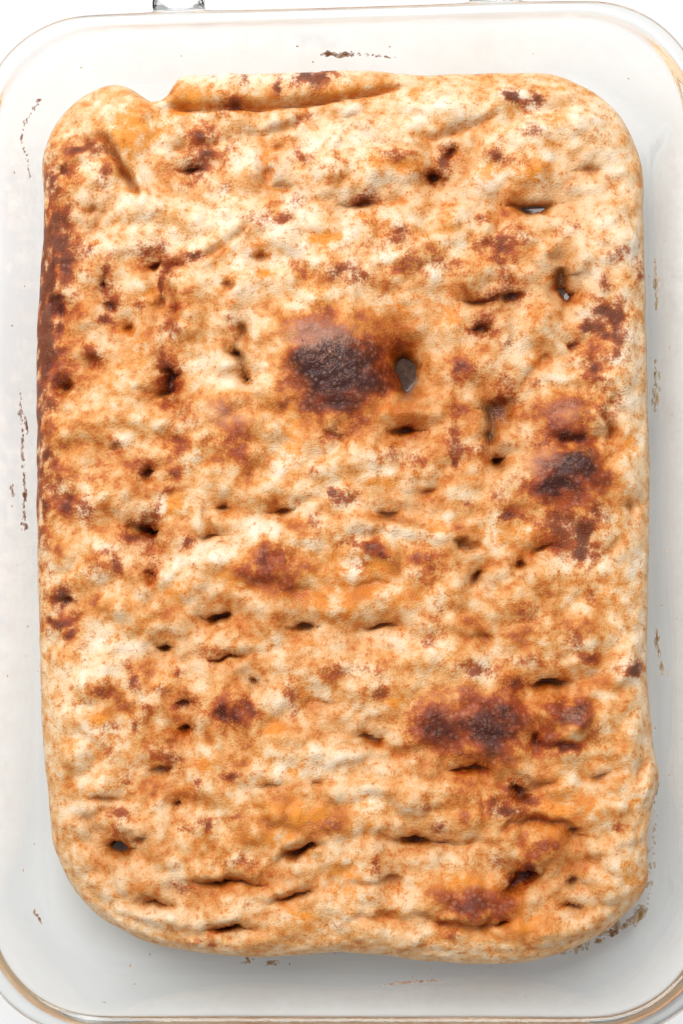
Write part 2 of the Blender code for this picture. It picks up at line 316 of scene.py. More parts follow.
        cinder = add_node(tree, "ShaderNodeMath", {0: dome, 1: char}, operation="MULTIPLY").outputs[0]
        relief = ((noises["grain"], 0.8), (noises["mottle"], 0.9), (pale, 1.2), (cinder, 1.6))
        height = noises["pore"]
        for value, share in relief:
            height = add_node(tree, "ShaderNodeMath", {
                0: value, 1: share, 2: height}, operation="MULTIPLY_ADD").outputs[0]
        bump = add_node(tree, "ShaderNodeBump", {
            "Height": height, "Strength": self.relief_strength, "Distance": self.relief_mm * MM})
        tree.links.new(bump.outputs["Normal"], shader.inputs["Normal"])
        return material


@dataclass(frozen=True)
class BoiledOil:
    """Oil and sugar that boiled and set: a thin glossy film, darker where it is thicker."""

    name: str
    thin: str
    thick: str
    cover: float = 1.0
    roughness: float = 0.25
    ior: float = 1.47
    spot_mm: float = 1.6

    def make(self) -> bpy.types.Material:
        """Builds the film's colour and how much of it the light passes."""
        material, tree, shader = new_material(self.name)
        place = add_node(tree, "ShaderNodeTexCoord").outputs["Object"]
        spots = add_node(tree, "ShaderNodeTexNoise", {
            "Vector": place, "Scale": 1 / (self.spot_mm * MM), "Detail": 2.0}).outputs["Fac"]
        colour = add_node(tree, "ShaderNodeValToRGB", {"Fac": spots},
                          stops=((0.35, self.thin), (0.7, self.thick)))
        tree.links.new(colour.outputs["Color"], shader.inputs["Base Color"])
        if self.cover < 1.0:
            cover = add_node(tree, "ShaderNodeMapRange", {
                "Value": spots, "From Min": 0.35, "From Max": 0.65,
                "To Min": 0.5 * self.cover, "To Max": min(1.0, 1.4 * self.cover)})
            tree.links.new(cover.outputs["Result"], shader.inputs["Alpha"])
        shader.inputs["Roughness"].default_value = self.roughness
        shader.inputs["IOR"].default_value = self.ior
        return material


@dataclass(frozen=True)
class Granule:
    """Loose dry grains, ground cinnamon or crumb: matte, each a little lighter or darker."""

    name: str
    dark: str
    light: str
    roughness: float = 0.8
    spot_mm: float = 0.8

    def make(self) -> bpy.types.Material:
        """Builds the grain's colour from place to place."""
        material, tree, shader = new_material(self.name)
        place = add_node(tree, "ShaderNodeTexCoord").outputs["Object"]
        spots = add_node(tree, "ShaderNodeTexNoise", {
            "Vector": place, "Scale": 1 / (self.spot_mm * MM), "Detail": 2.0})
        shade = add_node(tree, "ShaderNodeValToRGB", {"Fac": spots.outputs["Fac"]},
                         stops=((0.35, self.dark), (0.65, self.light)))
        tree.links.new(shade.outputs["Color"], shader.inputs["Base Color"])
        shader.inputs["Roughness"].default_value = self.roughness
        return material


@dataclass(frozen=True)
class TablePaint:
    """A matte white-painted table top, with a breath of unevenness."""

    light: str = "#dadadb"
    dark: str = "#d2d2d2"
    roughness: float = 0.7
    cloud_mm: float = 60.0

    def make(self) -> bpy.types.Material:
        """Builds the paint."""
        material, tree, shader = new_material("matte_white_paint")
        place = add_node(tree, "ShaderNodeTexCoord").outputs["Object"]
        cloud = add_node(tree, "ShaderNodeTexNoise", {
            "Vector": place, "Scale": 1 / (self.cloud_mm * MM), "Detail": 3.0})
        shade = add_node(tree, "ShaderNodeValToRGB", {"Fac": cloud.outputs["Fac"]},
                         stops=((0.3, self.dark), (0.7, self.light)))
        tree.links.new(shade.outputs["Color"], shader.inputs["Base Color"])
        shader.inputs["Roughness"].default_value = self.roughness
        return material


# ---------------------------------------------------------------------------------------------
# Modelling by hand
# ---------------------------------------------------------------------------------------------


def start_piece(name: str, add: Callable, **options: object) -> bpy.types.Object:
    """Adds a primitive with nothing else selected, and names it.

    Args:
        name: The piece's name.
        add: The primitive's operator.
        options: The operator's options.

    Returns:
        The new object, which is active.
    """
    bpy.ops.object.select_all(action="DESELECT")
    add(**options)
    piece = bpy.context.object
    piece.name = piece.data.name = name
    return piece


def select_in_mesh(piece: bpy.types.Object, kind: str, wanted: Callable) -> None:
    """In edit mode, selects the faces or edges that pass a test, and nothing else.

    Args:
        piece: The object in edit mode.
        kind: "faces" or "edges".
        wanted: A function that takes the face or edge and says whether it is selected.
    """
    bpy.ops.mesh.select_all(action="DESELECT")
    bpy.ops.mesh.select_mode(type="FACE" if kind == "faces" else "EDGE")
    built = bmesh.from_edit_mesh(piece.data)
    for part in getattr(built, kind):
        if wanted(part):
            part.select_set(True)
    built.select_flush_mode()
    bmesh.update_edit_mesh(piece.data)


def apply_modifiers(piece: bpy.types.Object) -> None:
    """Applies all of a piece's modifiers, in their order."""
    bpy.ops.object.select_all(action="DESELECT")
    bpy.context.view_layer.objects.active = piece
    piece.select_set(True)
    for modifier in list(piece.modifiers):
        bpy.ops.object.modifier_apply(modifier=modifier.name)


def finish_piece(piece: bpy.types.Object, material: bpy.types.Material,
                 replaced: str = "") -> None:
    """Gives a piece its material and its body, and reports it.

    Args:
        piece: The finished object, at the origin.
        material: Its finish.
        replaced: The CAD node that the piece stands for, if any.
    """
    piece.data.materials.clear()
    piece.data.materials.append(material)
    piece.data.shade_smooth()
    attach(piece, "root")
    if replaced:
        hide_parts(replaced)
    LOG.info("%s: %d faces", piece.name, len(piece.data.polygons))


def read_points(mesh: bpy.types.Mesh) -> np.ndarray:
    """The mesh's points as an array of rows."""
    points = np.empty(len(mesh.vertices) * 3)
    mesh.vertices.foreach_get("co", points)
    return points.reshape(-1, 3)


def write_points(mesh: bpy.types.Mesh, points: np.ndarray) -> None:
    """Moves the mesh's points to the rows of an array."""
    mesh.vertices.foreach_set("co", points.ravel())
    mesh.update()


def write_attribute(mesh: bpy.types.Mesh, name: str, values: np.ndarray) -> None:
    """Stores one number for each of the mesh's points.

    Args:
        mesh: The mesh.
        name: The attribute's name.
        values: One value for each point.
    """
    layer = mesh.attributes.get(name) or mesh.attributes.new(name, "FLOAT", "POINT")
    layer.data.foreach_set("value", values.astype(np.float32))


def read_attribute(mesh: bpy.types.Mesh, name: str) -> np.ndarray:
    """The numbers that a mesh stores for its points under that name."""
    values = np.empty(len(mesh.vertices))
    mesh.attributes[name].data.foreach_get("value", values)
    return values


def lumps(x: np.ndarray, y: np.ndarray, size_x: float, size_y: float, layer: float) -> np.ndarray:
    """Smooth noise from about -1 to 1 over places given in millimetres.

    Args:
        x: Places across.
        y: Places along.
        size_x: A lump's size across.
        size_y: A lump's size along.
        layer: Which noise, as any number.

    Returns:
        The noise at each place.
    """
    pairs = zip((x / size_x).tolist(), (y / size_y).tolist())
    return np.array([noise.noise((across, along, layer)) for across, along in pairs])


def surface_tree(piece: bpy.types.Object) -> BVHTree:
    """A search tree over a finished piece's surface."""
    return BVHTree.FromPolygons([vert.co.copy() for vert in piece.data.vertices],
                                [tuple(face.vertices) for face in piece.data.polygons])


def smooth_step(low: float, high: float, value: np.ndarray) -> np.ndarray:
    """0 below low and 1 above high, with a smooth S between them."""
    share = np.clip((value - low) / (high - low), 0.0, 1.0)
    return share * share * (3 - 2 * share)


# ---------------------------------------------------------------------------------------------
# The baking dish
# ---------------------------------------------------------------------------------------------


@dataclass
class BakingDish:
    """One piece of pressed glass: a leaning wall with round corners, a rolled lip and loop handles."""

    rim_half: tuple[float, float] = (0.123, 0.171)
    rim_corner: float = 0.039
    height: float = 0.056
    floor: float = 0.0055
    lip_width: float = 0.007
    lip_depth: float = 0.0048
    lip_round: float = 0.0014
    wall: float = 0.0041
    lean: float = math.radians(12)
    inner_fillet: float = 0.016
    outer_fillet: float = 0.018
    foot_width: float = 0.009
    foot_recess: float = 0.0008
    corner_segments: int = 8
    wall_columns: tuple[float, ...] = (-0.06, 0.0, 0.06)
    handle_half: float = 0.063
    gap_half: float = 0.045
    gap_depth: float = 0.015
    bar_width: float = 0.011
    handle_thick: float = 0.0070
    handle_level: float = 0.0519
    handle_flare: float = 0.0018
    edge_round: float = 0.0014
    edge_angle: float = math.radians(50)
    smoothness: int = 2
    near: float = 0.0001
    surface: BVHTree | None = field(default=None, init=False)

    def _wall_inset(self, level: float) -> float:
        """How far the inner wall is inside the rim's outer edge at that level."""
        return self.lip_width + (self.height - level) * math.tan(self.lean)

    def _fillet(self, outwards: float, radius: float, ground: float) -> list[tuple[float, float]]:
        """Inset and level of points round the curve from the wall down to the flat ground.

        Args:
            outwards: How far outside the inner wall's face this face is.
            radius: The curve's radius.
            ground: The flat's level.

        Returns:
            Five points, from the wall to the ground.
        """
        centre = ground + radius
        touch = centre - radius * math.sin(self.lean)
        middle = self._wall_inset(touch) - outwards + radius * math.cos(self.lean)
        angles = [self.lean + (math.pi / 2 - self.lean) * step / 4 for step in range(5)]
        return [(middle - radius * math.cos(a), centre - radius * math.sin(a)) for a in angles]

    def _section(self) -> list[tuple[float, float]]:
        """Inset and level of the glass's section, up the inside, over the lip and down to the base."""
        inside = list(reversed(self._fillet(0.0, self.inner_fillet, self.floor)))
        outside = self._fillet(self.wall, self.outer_fillet, 0.0)
        low = self.height - self.lip_depth
        middle = (inside[-1][1] + low) / 2
        lip = [
            (self._wall_inset(middle), middle),
            (self._wall_inset(low), low),
            (self.lip_width + 0.3 * self.lip_round, self.height - self.lip_round),
            (self.lip_width - self.lip_round, self.height),
            (self.lip_round, self.height),
            (0.0, self.height - self.lip_round),
            (0.0, low + self.lip_round),
            (self.lip_round, low),
            (self._wall_inset(low) - self.wall, low - self.lip_round),
            (self._wall_inset(middle) - self.wall, middle),
        ]
        edge = outside[-1][0]
        foot = [
            (edge + self.foot_width / 2, 0.0),
            (edge + self.foot_width, 0.0),
            (edge + self.foot_width + self.foot_recess, self.foot_recess),
            (edge + self.foot_width + 6 * self.foot_recess, self.foot_recess),
        ]
        return inside + lip + outside + foot

    def _raise_wall(self, dish: bpy.types.Object) -> None:
        """Extrudes the floor's edge ring by ring along the section and closes the base.

        Args:
            dish: The object in edit mode, a flat face with round corners at the rim's size. It is not
                used.
        """
        origin = (0.0, 0.0, 0.0)
        section = self._section()
        current, level = 0.0, self.floor
        bpy.ops.mesh.select_all(action="SELECT")
        for number, (inset, height) in enumerate(section):
            if number == 1:
                bpy.ops.mesh.region_to_loop()
            if number:
                bpy.ops.mesh.extrude_region_move()
            scale = [(half - inset) / (half - current) for half in self.rim_half]
            bpy.ops.transform.resize(value=(*scale, 1.0), center_override=origin)
            bpy.ops.transform.translate(value=(0.0, 0.0, height - level))
            current, level = inset, height
        bpy.ops.mesh.edge_face_add()

    def _cut_columns(self) -> None:
        """Cuts the rings where the handles' arms and gap begin and end, and along the walls."""
        across = [side * at for side in (-1, 1) for at in (self.gap_half, self.handle_half)]
        cuts = [(at, 0) for at in (*across, 0.0)] + [(at, 1) for at in self.wall_columns]
        for place, axis in cuts:
            at, along = [0.0, 0.0, 0.0], [0.0, 0.0, 0.0]
            at[axis], along[axis] = place, 1.0
            bpy.ops.mesh.select_all(action="SELECT")
            bpy.ops.mesh.bisect(plane_co=at, plane_no=along)

    def _is_arm_root(self, face: bmesh.types.BMFace, end: int) -> bool:
        """Whether a face of the lip's outer edge is where an arm begins at that end."""
        centre = face.calc_center_median()
        arm = self.gap_half < abs(centre.x) < self.handle_half
        return arm and abs(centre.y - end * self.rim_half[1]) < self.near

    def _looks_across_gap(self, face: bmesh.types.BMFace, end: int) -> bool:
        """Whether a face of an arm's outer part looks at the other arm at that end."""
        centre = face.calc_center_median()
        beyond = end * centre.y > self.rim_half[1] + self.gap_depth
        at_gap = abs(abs(centre.x) - self.gap_half) < self.near
        return beyond and at_gap and face.normal.x * centre.x < 0

    def _level_arms(self, dish: bpy.types.Object) -> None:
        """Brings the selected arms' ends to the handle's level and thickness.

        Args:
            dish: The object in edit mode, with the arms' ends selected.
        """
        built = bmesh.from_edit_mesh(dish.data)
        for vert in built.verts:
            if vert.select:
                side = 1 if vert.co.z > self.height - self.lip_depth / 2 else -1
                vert.co.z = self.handle_level + side * self.handle_thick / 2
        bmesh.update_edit_mesh(dish.data)

    def _pull_handles(self, dish: bpy.types.Object) -> None:
        """Extrudes two arms from the lip at each end and bridges them into a loop handle.

        Args:
            dish: The object in edit mode, with its columns cut.
        """
        flare = self.handle_flare
        steps = (flare, self.gap_depth - 2 * flare, flare, self.bar_width)
        for end in (1, -1):
            select_in_mesh(dish, "faces", lambda face, end=end: self._is_arm_root(face, end))
            for number, step in enumerate(steps):
                bpy.ops.mesh.extrude_region_move()
                bpy.ops.transform.translate(value=(0.0, end * step, 0.0))
                if number == 0:
                    self._level_arms(dish)
            select_in_mesh(dish, "faces", lambda face, end=end: self._looks_across_gap(face, end))
            bpy.ops.mesh.bridge_edge_loops(number_cuts=3)

    def _is_handle_edge(self, edge: bmesh.types.BMEdge) -> bool:
        """Whether an edge of a handle is a sharp corner."""
        beyond = self.rim_half[1] + 2 / 3 * self.handle_flare
        outside = min(abs(vert.co.y) for vert in edge.verts) >= beyond
        return outside and len(edge.link_faces) == 2 and edge.calc_face_angle() > self.edge_angle

    def _round_handles(self, dish: bpy.types.Object) -> None:
        """Bevels the handles' long edges, so that subdivision keeps their flat faces.

        Args:
            dish: The object in edit mode.
        """
        select_in_mesh(dish, "edges", self._is_handle_edge)
        bpy.ops.mesh.bevel(offset=self.edge_round, segments=2, affect="EDGES")

    def build(self, material: bpy.types.Material) -> bpy.types.Object:
        """Models the dish and dresses it.

        Args:
            material: The glass.

        Returns:
            The finished dish.
        """
        half_x, half_y = self.rim_half
        dish = start_piece("glass_baking_dish", bpy.ops.mesh.primitive_plane_add, size=2.0)
        bpy.ops.object.mode_set(mode="EDIT")
        bpy.ops.mesh.select_all(action="SELECT")
        bpy.ops.transform.resize(value=(half_x, half_y, 1.0))
        bpy.ops.transform.translate(value=(0.0, 0.0, self.floor))
        bpy.ops.mesh.bevel(offset=self.rim_corner, segments=self.corner_segments, affect="VERTICES")
        self._raise_wall(dish)
        self._cut_columns()
        self._pull_handles(dish)
        self._round_handles(dish)
        bpy.ops.mesh.select_all(action="SELECT")
        bpy.ops.mesh.normals_make_consistent(inside=False)
        bpy.ops.object.mode_set(mode="OBJECT")
        fine = dish.modifiers.new("pressed_smooth", "SUBSURF")
        fine.levels = fine.render_levels = self.smoothness
        apply_modifiers(dish)
        finish_piece(dish, material, "baking_dish")
        self.surface = surface_tree(dish)
        return dish


# ---------------------------------------------------------------------------------------------
# The bread
# ---------------------------------------------------------------------------------------------


@dataclass(frozen=True)
class Blister:
    """A bubble that the oven raised. Places and sizes are in millimetres, the turn in degrees."""

    x: float
    y: float
    across: float
    along: float
    rise: float
    toast: float = 0.0
    turn: float = 0.0


@dataclass(frozen=True)
class Dimple:
    """A fingertip's hollow. Places and sizes are in millimetres, the turn in degrees."""

    x: float
    y: float
    across: float
    along: float
    depth: float
    turn: float = 0.0


@dataclass(frozen=True)
class Crease:
    """A fold's line in the dough, from one end to the other, in millimetres.

    The bow is how far its middle swings to the left of the straight line, and the step how much
    higher the dough stands on that side.
    """

    start: tuple[float, float]
    end: tuple[float, float]
    depth: float
    width: float = 2.2
    bow: float = 0.0
    step: float = 0.6


@dataclass(frozen=True)
class Patch:
    """A stain on the crust that stands no higher than the rest, in millimetres and degrees."""

    mask: Mask
    x: float
    y: float
    across: float
    along: float
    strength: float
    turn: float = 0.0


BLISTERS = (
    Blister(-4, 51, 34, 33, 5.4, 0.34),
    Blister(-40, 31, 25, 23, 3.4, 0.06),
    Blister(-35, 19, 17, 13, 1.8, 0.20),
    Blister(76, 32, 22, 16, 3.0, 0.06),
    Blister(77, 13, 25, 16, 3.6, 0.26),
    Blister(-26, -18, 22, 20, 3.0, 0.36),
    Blister(29, -71, 19, 19, 2.4, 0.34),
    Blister(49, -70, 22, 21, 2.6, 0.34),
    Blister(74, -70, 20, 16, 3.6, 0.10),
    Blister(-13, -103, 34, 15, 3.0, 0.22),
    Blister(43, -130, 28, 14, 3.2, 0.24),
    Blister(-38, -65, 20, 13, 2.4, 0.26),
    Blister(2, 119, 26, 24, 3.4, 0.06),
    Blister(22, 121, 17, 16, 3.0, 0.16),
    Blister(2, 84, 25, 14, 2.2, 0.05, -15),
    Blister(25, 88, 20, 16, 1.8, 0.06),
    Blister(41, 49, 10, 10, 2.0, 0.20),
    Blister(67, 117, 18, 9, 2.2, 0.08),
    Blister(13, -13, 13, 8, 1.6, 0.20, -20),
    Blister(27, -17, 10, 10, 1.4, 0.16),
    Blister(-54, 73, 15, 21, 3.2, 0.14),
    Blister(64, -112, 18, 10, 2.4, 0.14, 20),
    Blister(-103, -28, 7, 9, 1.2),
    Blister(-76, 135, 26, 26, 3.6, 0.0),
    Blister(-82, -61, 15, 10, 1.6, 0.12),
    Blister(-92, 112, 17, 20, 2.4),
    Blister(-70, 103, 28, 18, 2.0, 0.0, 20),
    Blister(-25, 98, 22, 14, 2.2, 0.0, 20),
    Blister(42, 140, 36, 12, 2.2, 0.0, 12),
    Blister(85, 131, 24, 20, 1.8),
    Blister(92, 96, 20, 22, 2.0),
    Blister(96, 50, 14, 26, 1.6),
    Blister(10, 135, 26, 10, 1.6),
    Blister(24, 37, 26, 10, 1.8, 0.06),
    Blister(-17, 65, 22, 12, 1.2),
    Blister(62, 62, 26, 10, 2.0, 0.0, 8),
    Blister(37, 96, 22, 16, 1.6),
    Blister(-84, 34, 26, 18, 2.0),
    Blister(-80, 8, 22, 12, 1.6),
    Blister(-50, -18, 26, 12, 1.8, 0.0, 20),
    Blister(-42, -3, 12, 7, 1.4),
    Blister(20, -5, 40, 8, 2.2, 0.0, -9),
    Blister(-28, 41, 12, 12, 1.4),
    Blister(60, 8, 18, 12, 1.6),
    Blister(30, 15, 24, 12, 1.4),
    Blister(90, -12, 18, 30, 1.6, 0.05),
    Blister(60, -25, 26, 10, 1.6),
    Blister(-70, -33, 30, 16, 1.6),
    Blister(-92, -72, 18, 34, 2.0),
    Blister(-12, -52, 26, 14, 1.8),
    Blister(16, -55, 22, 12, 1.6),
    Blister(78, -42, 22, 14, 1.6),
    Blister(-5, -82, 40, 9, 2.2, 0.0, -4),
    Blister(-46, -86, 22, 16, 1.6),
    Blister(24, -95, 22, 14, 1.8),
    Blister(44, -102, 22, 10, 2.0, 0.06),
    Blister(84, -98, 20, 14, 1.6),
    Blister(90, -122, 16, 20, 2.0),
    Blister(-60, -112, 22, 14, 1.8),
    Blister(-62, -122, 34, 9, 1.6, 0.0, -5),
    Blister(-62, -136, 30, 8, 1.6, 0.0, -8),
    Blister(-4, -116, 18, 8, 1.8, 0.0, 14),
    Blister(-4, -132, 34, 8, 1.8, 0.0, 4),
    Blister(20, -144, 44, 8, 1.2),
    Blister(66, -140, 30, 8, 1.6, 0.0, 10),
)
DIMPLES = (
    Dimple(-26, 119, 4, 8, 3, -20),
    Dimple(-21, 114, 9, 3, 3.5, -15),
    Dimple(-22, 128, 6, 3, 3),
    Dimple(8, 108, 14, 4, 6, 5),
    Dimple(33, 117, 7, 6, 8),
    Dimple(39, 126, 4, 5, 5, -20),
    Dimple(66, 107, 17, 6, 9),
    Dimple(76, 82, 8, 10, 8),
    Dimple(77, 76, 4, 6, 8, 10),
    Dimple(46, 73, 14, 4, 6, -8),
    Dimple(58, 75, 9, 5, 7, 10),
    Dimple(48, 63, 6, 5, 6),
    Dimple(86, 118, 9, 5, 4, -20),
    Dimple(-28, 90, 4, 4, 5),
    Dimple(-39, 80, 4, 4, 5),
    Dimple(-35, 64, 4, 8, 6),
    Dimple(-37, 57, 5, 3, 5, 20),
    Dimple(-33, 47, 3, 4, 5),
    Dimple(-83, 82, 3, 5, 6),
    Dimple(-81, 74, 4, 6, 4),
    Dimple(-74, 66, 5, 5, 6, -20),
    Dimple(-87, 107, 7, 5, 3, 30),
    Dimple(-65, 88, 5, 4, 6),
    Dimple(-60, 50, 4, 9, 8, 10),
    Dimple(-62, 43, 6, 3, 6, 20),
    Dimple(-63, 75, 4, 7, 5, -10),
    Dimple(-96, 46, 5, 6, 7),
    Dimple(-87, 55, 5, 5, 4),
    Dimple(22, 50, 8, 19, 17, 8),
    Dimple(21, 58, 9, 12, 4, 10),
    Dimple(21, 29, 10, 4, 7, 5),
    Dimple(54, 36, 12, 12, 8),
    Dimple(50, 26, 3, 7, 5),
    Dimple(53, 18, 5, 5, 9, 30),
    Dimple(91, 28, 4, 9, 6, -10),
    Dimple(-67, 15, 4, 5, 7),
    Dimple(-78, 24, 5, 5, 3),
    Dimple(-70, -3, 11, 4, 7, -15),
    Dimple(-66, -5, 4, 5, 7, 20),
    Dimple(-41, 3, 5, 4, 7, -20),
    Dimple(-46, -7, 8, 3, 5, 15),
    Dimple(-21, 2, 7, 4, 7),
    Dimple(15, 0, 9, 3, 6),
    Dimple(41, -10, 6, 6, 5),
    Dimple(45, -22, 4, 7, 7, -25),
    Dimple(60, -17, 4, 4, 6, 35),
    Dimple(68, -12, 9, 3, 5, 25),
    Dimple(-67, -20, 3, 6, 6, 20),
    Dimple(-43, -34, 10, 5, 11, 12),
    Dimple(-14, -38, 9, 4, 8),
    Dimple(13, -38, 13, 4, 7, 14),
    Dimple(-62, -44, 6, 4, 7),
    Dimple(-40, -48, 14, 2.5, 6, 6),
    Dimple(-31, -56, 4, 5, 7),
    Dimple(47, -42, 8, 5, 4, -20),
    Dimple(69, -58, 15, 5, 9, 10),
    Dimple(-55, -72, 5, 5, 8),
    Dimple(-55, -64, 6, 3, 5, -30),
    Dimple(8, -76, 11, 4, 7, -20),
    Dimple(-63, -86, 9, 5, 7),
    Dimple(-57, -98, 4, 3.5, 6),
    Dimple(41, -86, 13, 4, 7, -5),
    Dimple(58, -94, 8, 5, 7, -20),
    Dimple(-78, -112, 10, 7, 11, -30),
    Dimple(-69, -109, 5, 3, 4),
    Dimple(23, -109, 11, 4, 8),
    Dimple(-15, -113, 12, 3, 5, 32),
    Dimple(-41, -124, 20, 2.5, 6, 3),
    Dimple(15, -123, 7, 6, 5),
    Dimple(77, -108, 4, 7, 7),
    Dimple(60, -121, 10, 5, 8, 0),
    Dimple(56, -125, 5, 6, 6, -30),
    Dimple(76, -124, 5, 5, 6),
    Dimple(75, -132, 9, 3, 5, -25),
    Dimple(-19, -129, 14, 2.5, 4, 20),
    Dimple(-40, -139, 12, 2.5, 5),
    Dimple(-65, -131, 9, 2.5, 4, -5),
    Dimple(85, -89, 8, 3, 4, 20),
    Dimple(98, 1, 4, 5, 5, 15),
    Dimple(28, 7, 9, 5, 4, 15),
    Dimple(-52, 122, 9, 3, 6, 5),
    Dimple(64, -76, 3, 7, 7, -10),
    Dimple(52, -137, 6, 3, 5, 20),
    Dimple(-95, -29, 5, 5, 4),
    Dimple(-26, -92, 9, 2.5, 3),
    Dimple(-9, -91, 5, 3, 3, 20),
    Dimple(-8, -64, 12, 5, 2.5, -8),
    Dimple(-56, 34, 5, 3, 2),
    Dimple(30, -111, 16, 3, 3),
    Dimple(-82, -96, 10, 3, 2.5),
    Dimple(-6, 27, 8, 5, 2.5),
    Dimple(-99, 75, 8, 9, 5),
    Dimple(70, 53, 5, 4, 2.5),
    Dimple(79, 57, 4, 4, 3),
    Dimple(10, -24, 9, 4, 2),
    Dimple(-16, -26, 12, 5, 2.5),
    Dimple(5, 138, 7, 3, 2),
)
CREASES = (
    Crease((-85, 134), (-70, 111), 6.5, 2.4, 1.0, 2.4),
    Crease((24, 129), (56, 138), 2.2, 1.8, -1.4, 0.8),
    Crease((-62, 83), (-54, 88), 3.5, 2.2, 0.6),
    Crease((-52, 88), (-31, 102), 2.6, 1.7, -1.6, 0.9),
    Crease((-37, 59), (-33, 46), 5.0, 2.0, 0.5, 0.5),
    Crease((12, -1), (31, -6), 2.6, 1.5, 0.6),
    Crease((37, -9), (47, -10), 3.5, 2.4, -3.5, 0.4),
    Crease((-36, 134), (-10, 139), 2.4, 2.0, -3.0, 0.5),
    Crease((-60, 128), (-38, 131), 2.4, 2.6, 0.0, 0.4),
    Crease((51, -107), (77, -107), 5.5, 2.2, 3.6, 0.6),
    Crease((28, -110), (52, -111), 1.6, 1.6, -0.6),
    Crease((70, -119), (103, -110), 1.6, 3.4, -1.0, 0.7),
    Crease((60, -93), (72, -90), 3.0, 2.0, 0.0),
    Crease((-47, 5), (-39, -7), 2.0, 1.8, -4.0, 0.3),
    Crease((70, 88), (79, 88), 2.5, 2.0, 0.0, 0.5),
    Crease((-60, -45), (-66, -42), 2.0, 1.8),
    Crease((-24, -118), (-6, -111), 4.5, 1.8, 1.8, 1.2),
    Crease((-53, -124), (-29, -124), 4.5, 1.8, 0.8, 1.2),
    Crease((-27, -132), (-9, -127), 4.0, 1.8, 1.2, 1.0),
    Crease((-48, -139), (-33, -139), 3.5, 1.8, 0.5, 0.8),
    Crease((-71, -129), (-58, -132), 3.0, 1.8, 0.0, 0.8),
    Crease((22, -134), (54, -136), 4.0, 2.0, -4.0, 1.4),
    Crease((0, -124), (12, -124), 2.0, 1.6, 0.0, 0.5),
    Crease((-90, -102), (-84, -107), 2.4, 1.8, 0.0, 0.4),
    Crease((0, -137), (24, -136), 2.0, 2.4, 0.8, 0.6),
    Crease((-66, 42), (-72, 44), 2.0, 1.6),
    Crease((-60, 42), (-56, 36), 2.5, 1.8),
    Crease((-17, 3), (-6, 4), 1.5, 1.2, 0.8, 0.3),
    Crease((89, 31), (94, 42), 1.5, 2.0),
    Crease((67, -77), (83, -67), -2.4, 2.4, -2.0, 0.0),
    Crease((67, -79), (82, -77), 2.5, 2.0, -1.0, 0.6),
    Crease((98, -92), (100, -84), 3.0, 2.0, 0.0, 0.0),
    Crease((-6, -87), (32, -80), 1.0, 2.4, 1.5, 0.6),
    Crease((58, 38), (70, 52), 1.0, 1.6, 1.0, 0.4),
    Crease((-101, 122), (-90, 124), 2.0, 2.0, 0.0, 0.8),
    Crease((88, 24), (70, 25), 2.6, 2.6, 1.0, 0.0),
    Crease((48, 41), (51, 23), 3.0, 2.4, 1.0, 0.4),
    Crease((-78, 113), (-87, 97), 3.0, 2.2, -1.0, 0.9),
    Crease((-60, 64), (-60, 82), 3.6, 2.2, -1.8, 0.2),
)
# Short names for the masks in the rows below
T, C, A, B, W = Mask.TOAST, Mask.CINNAMON, Mask.AMBER, Mask.BLOOM, Mask.WET
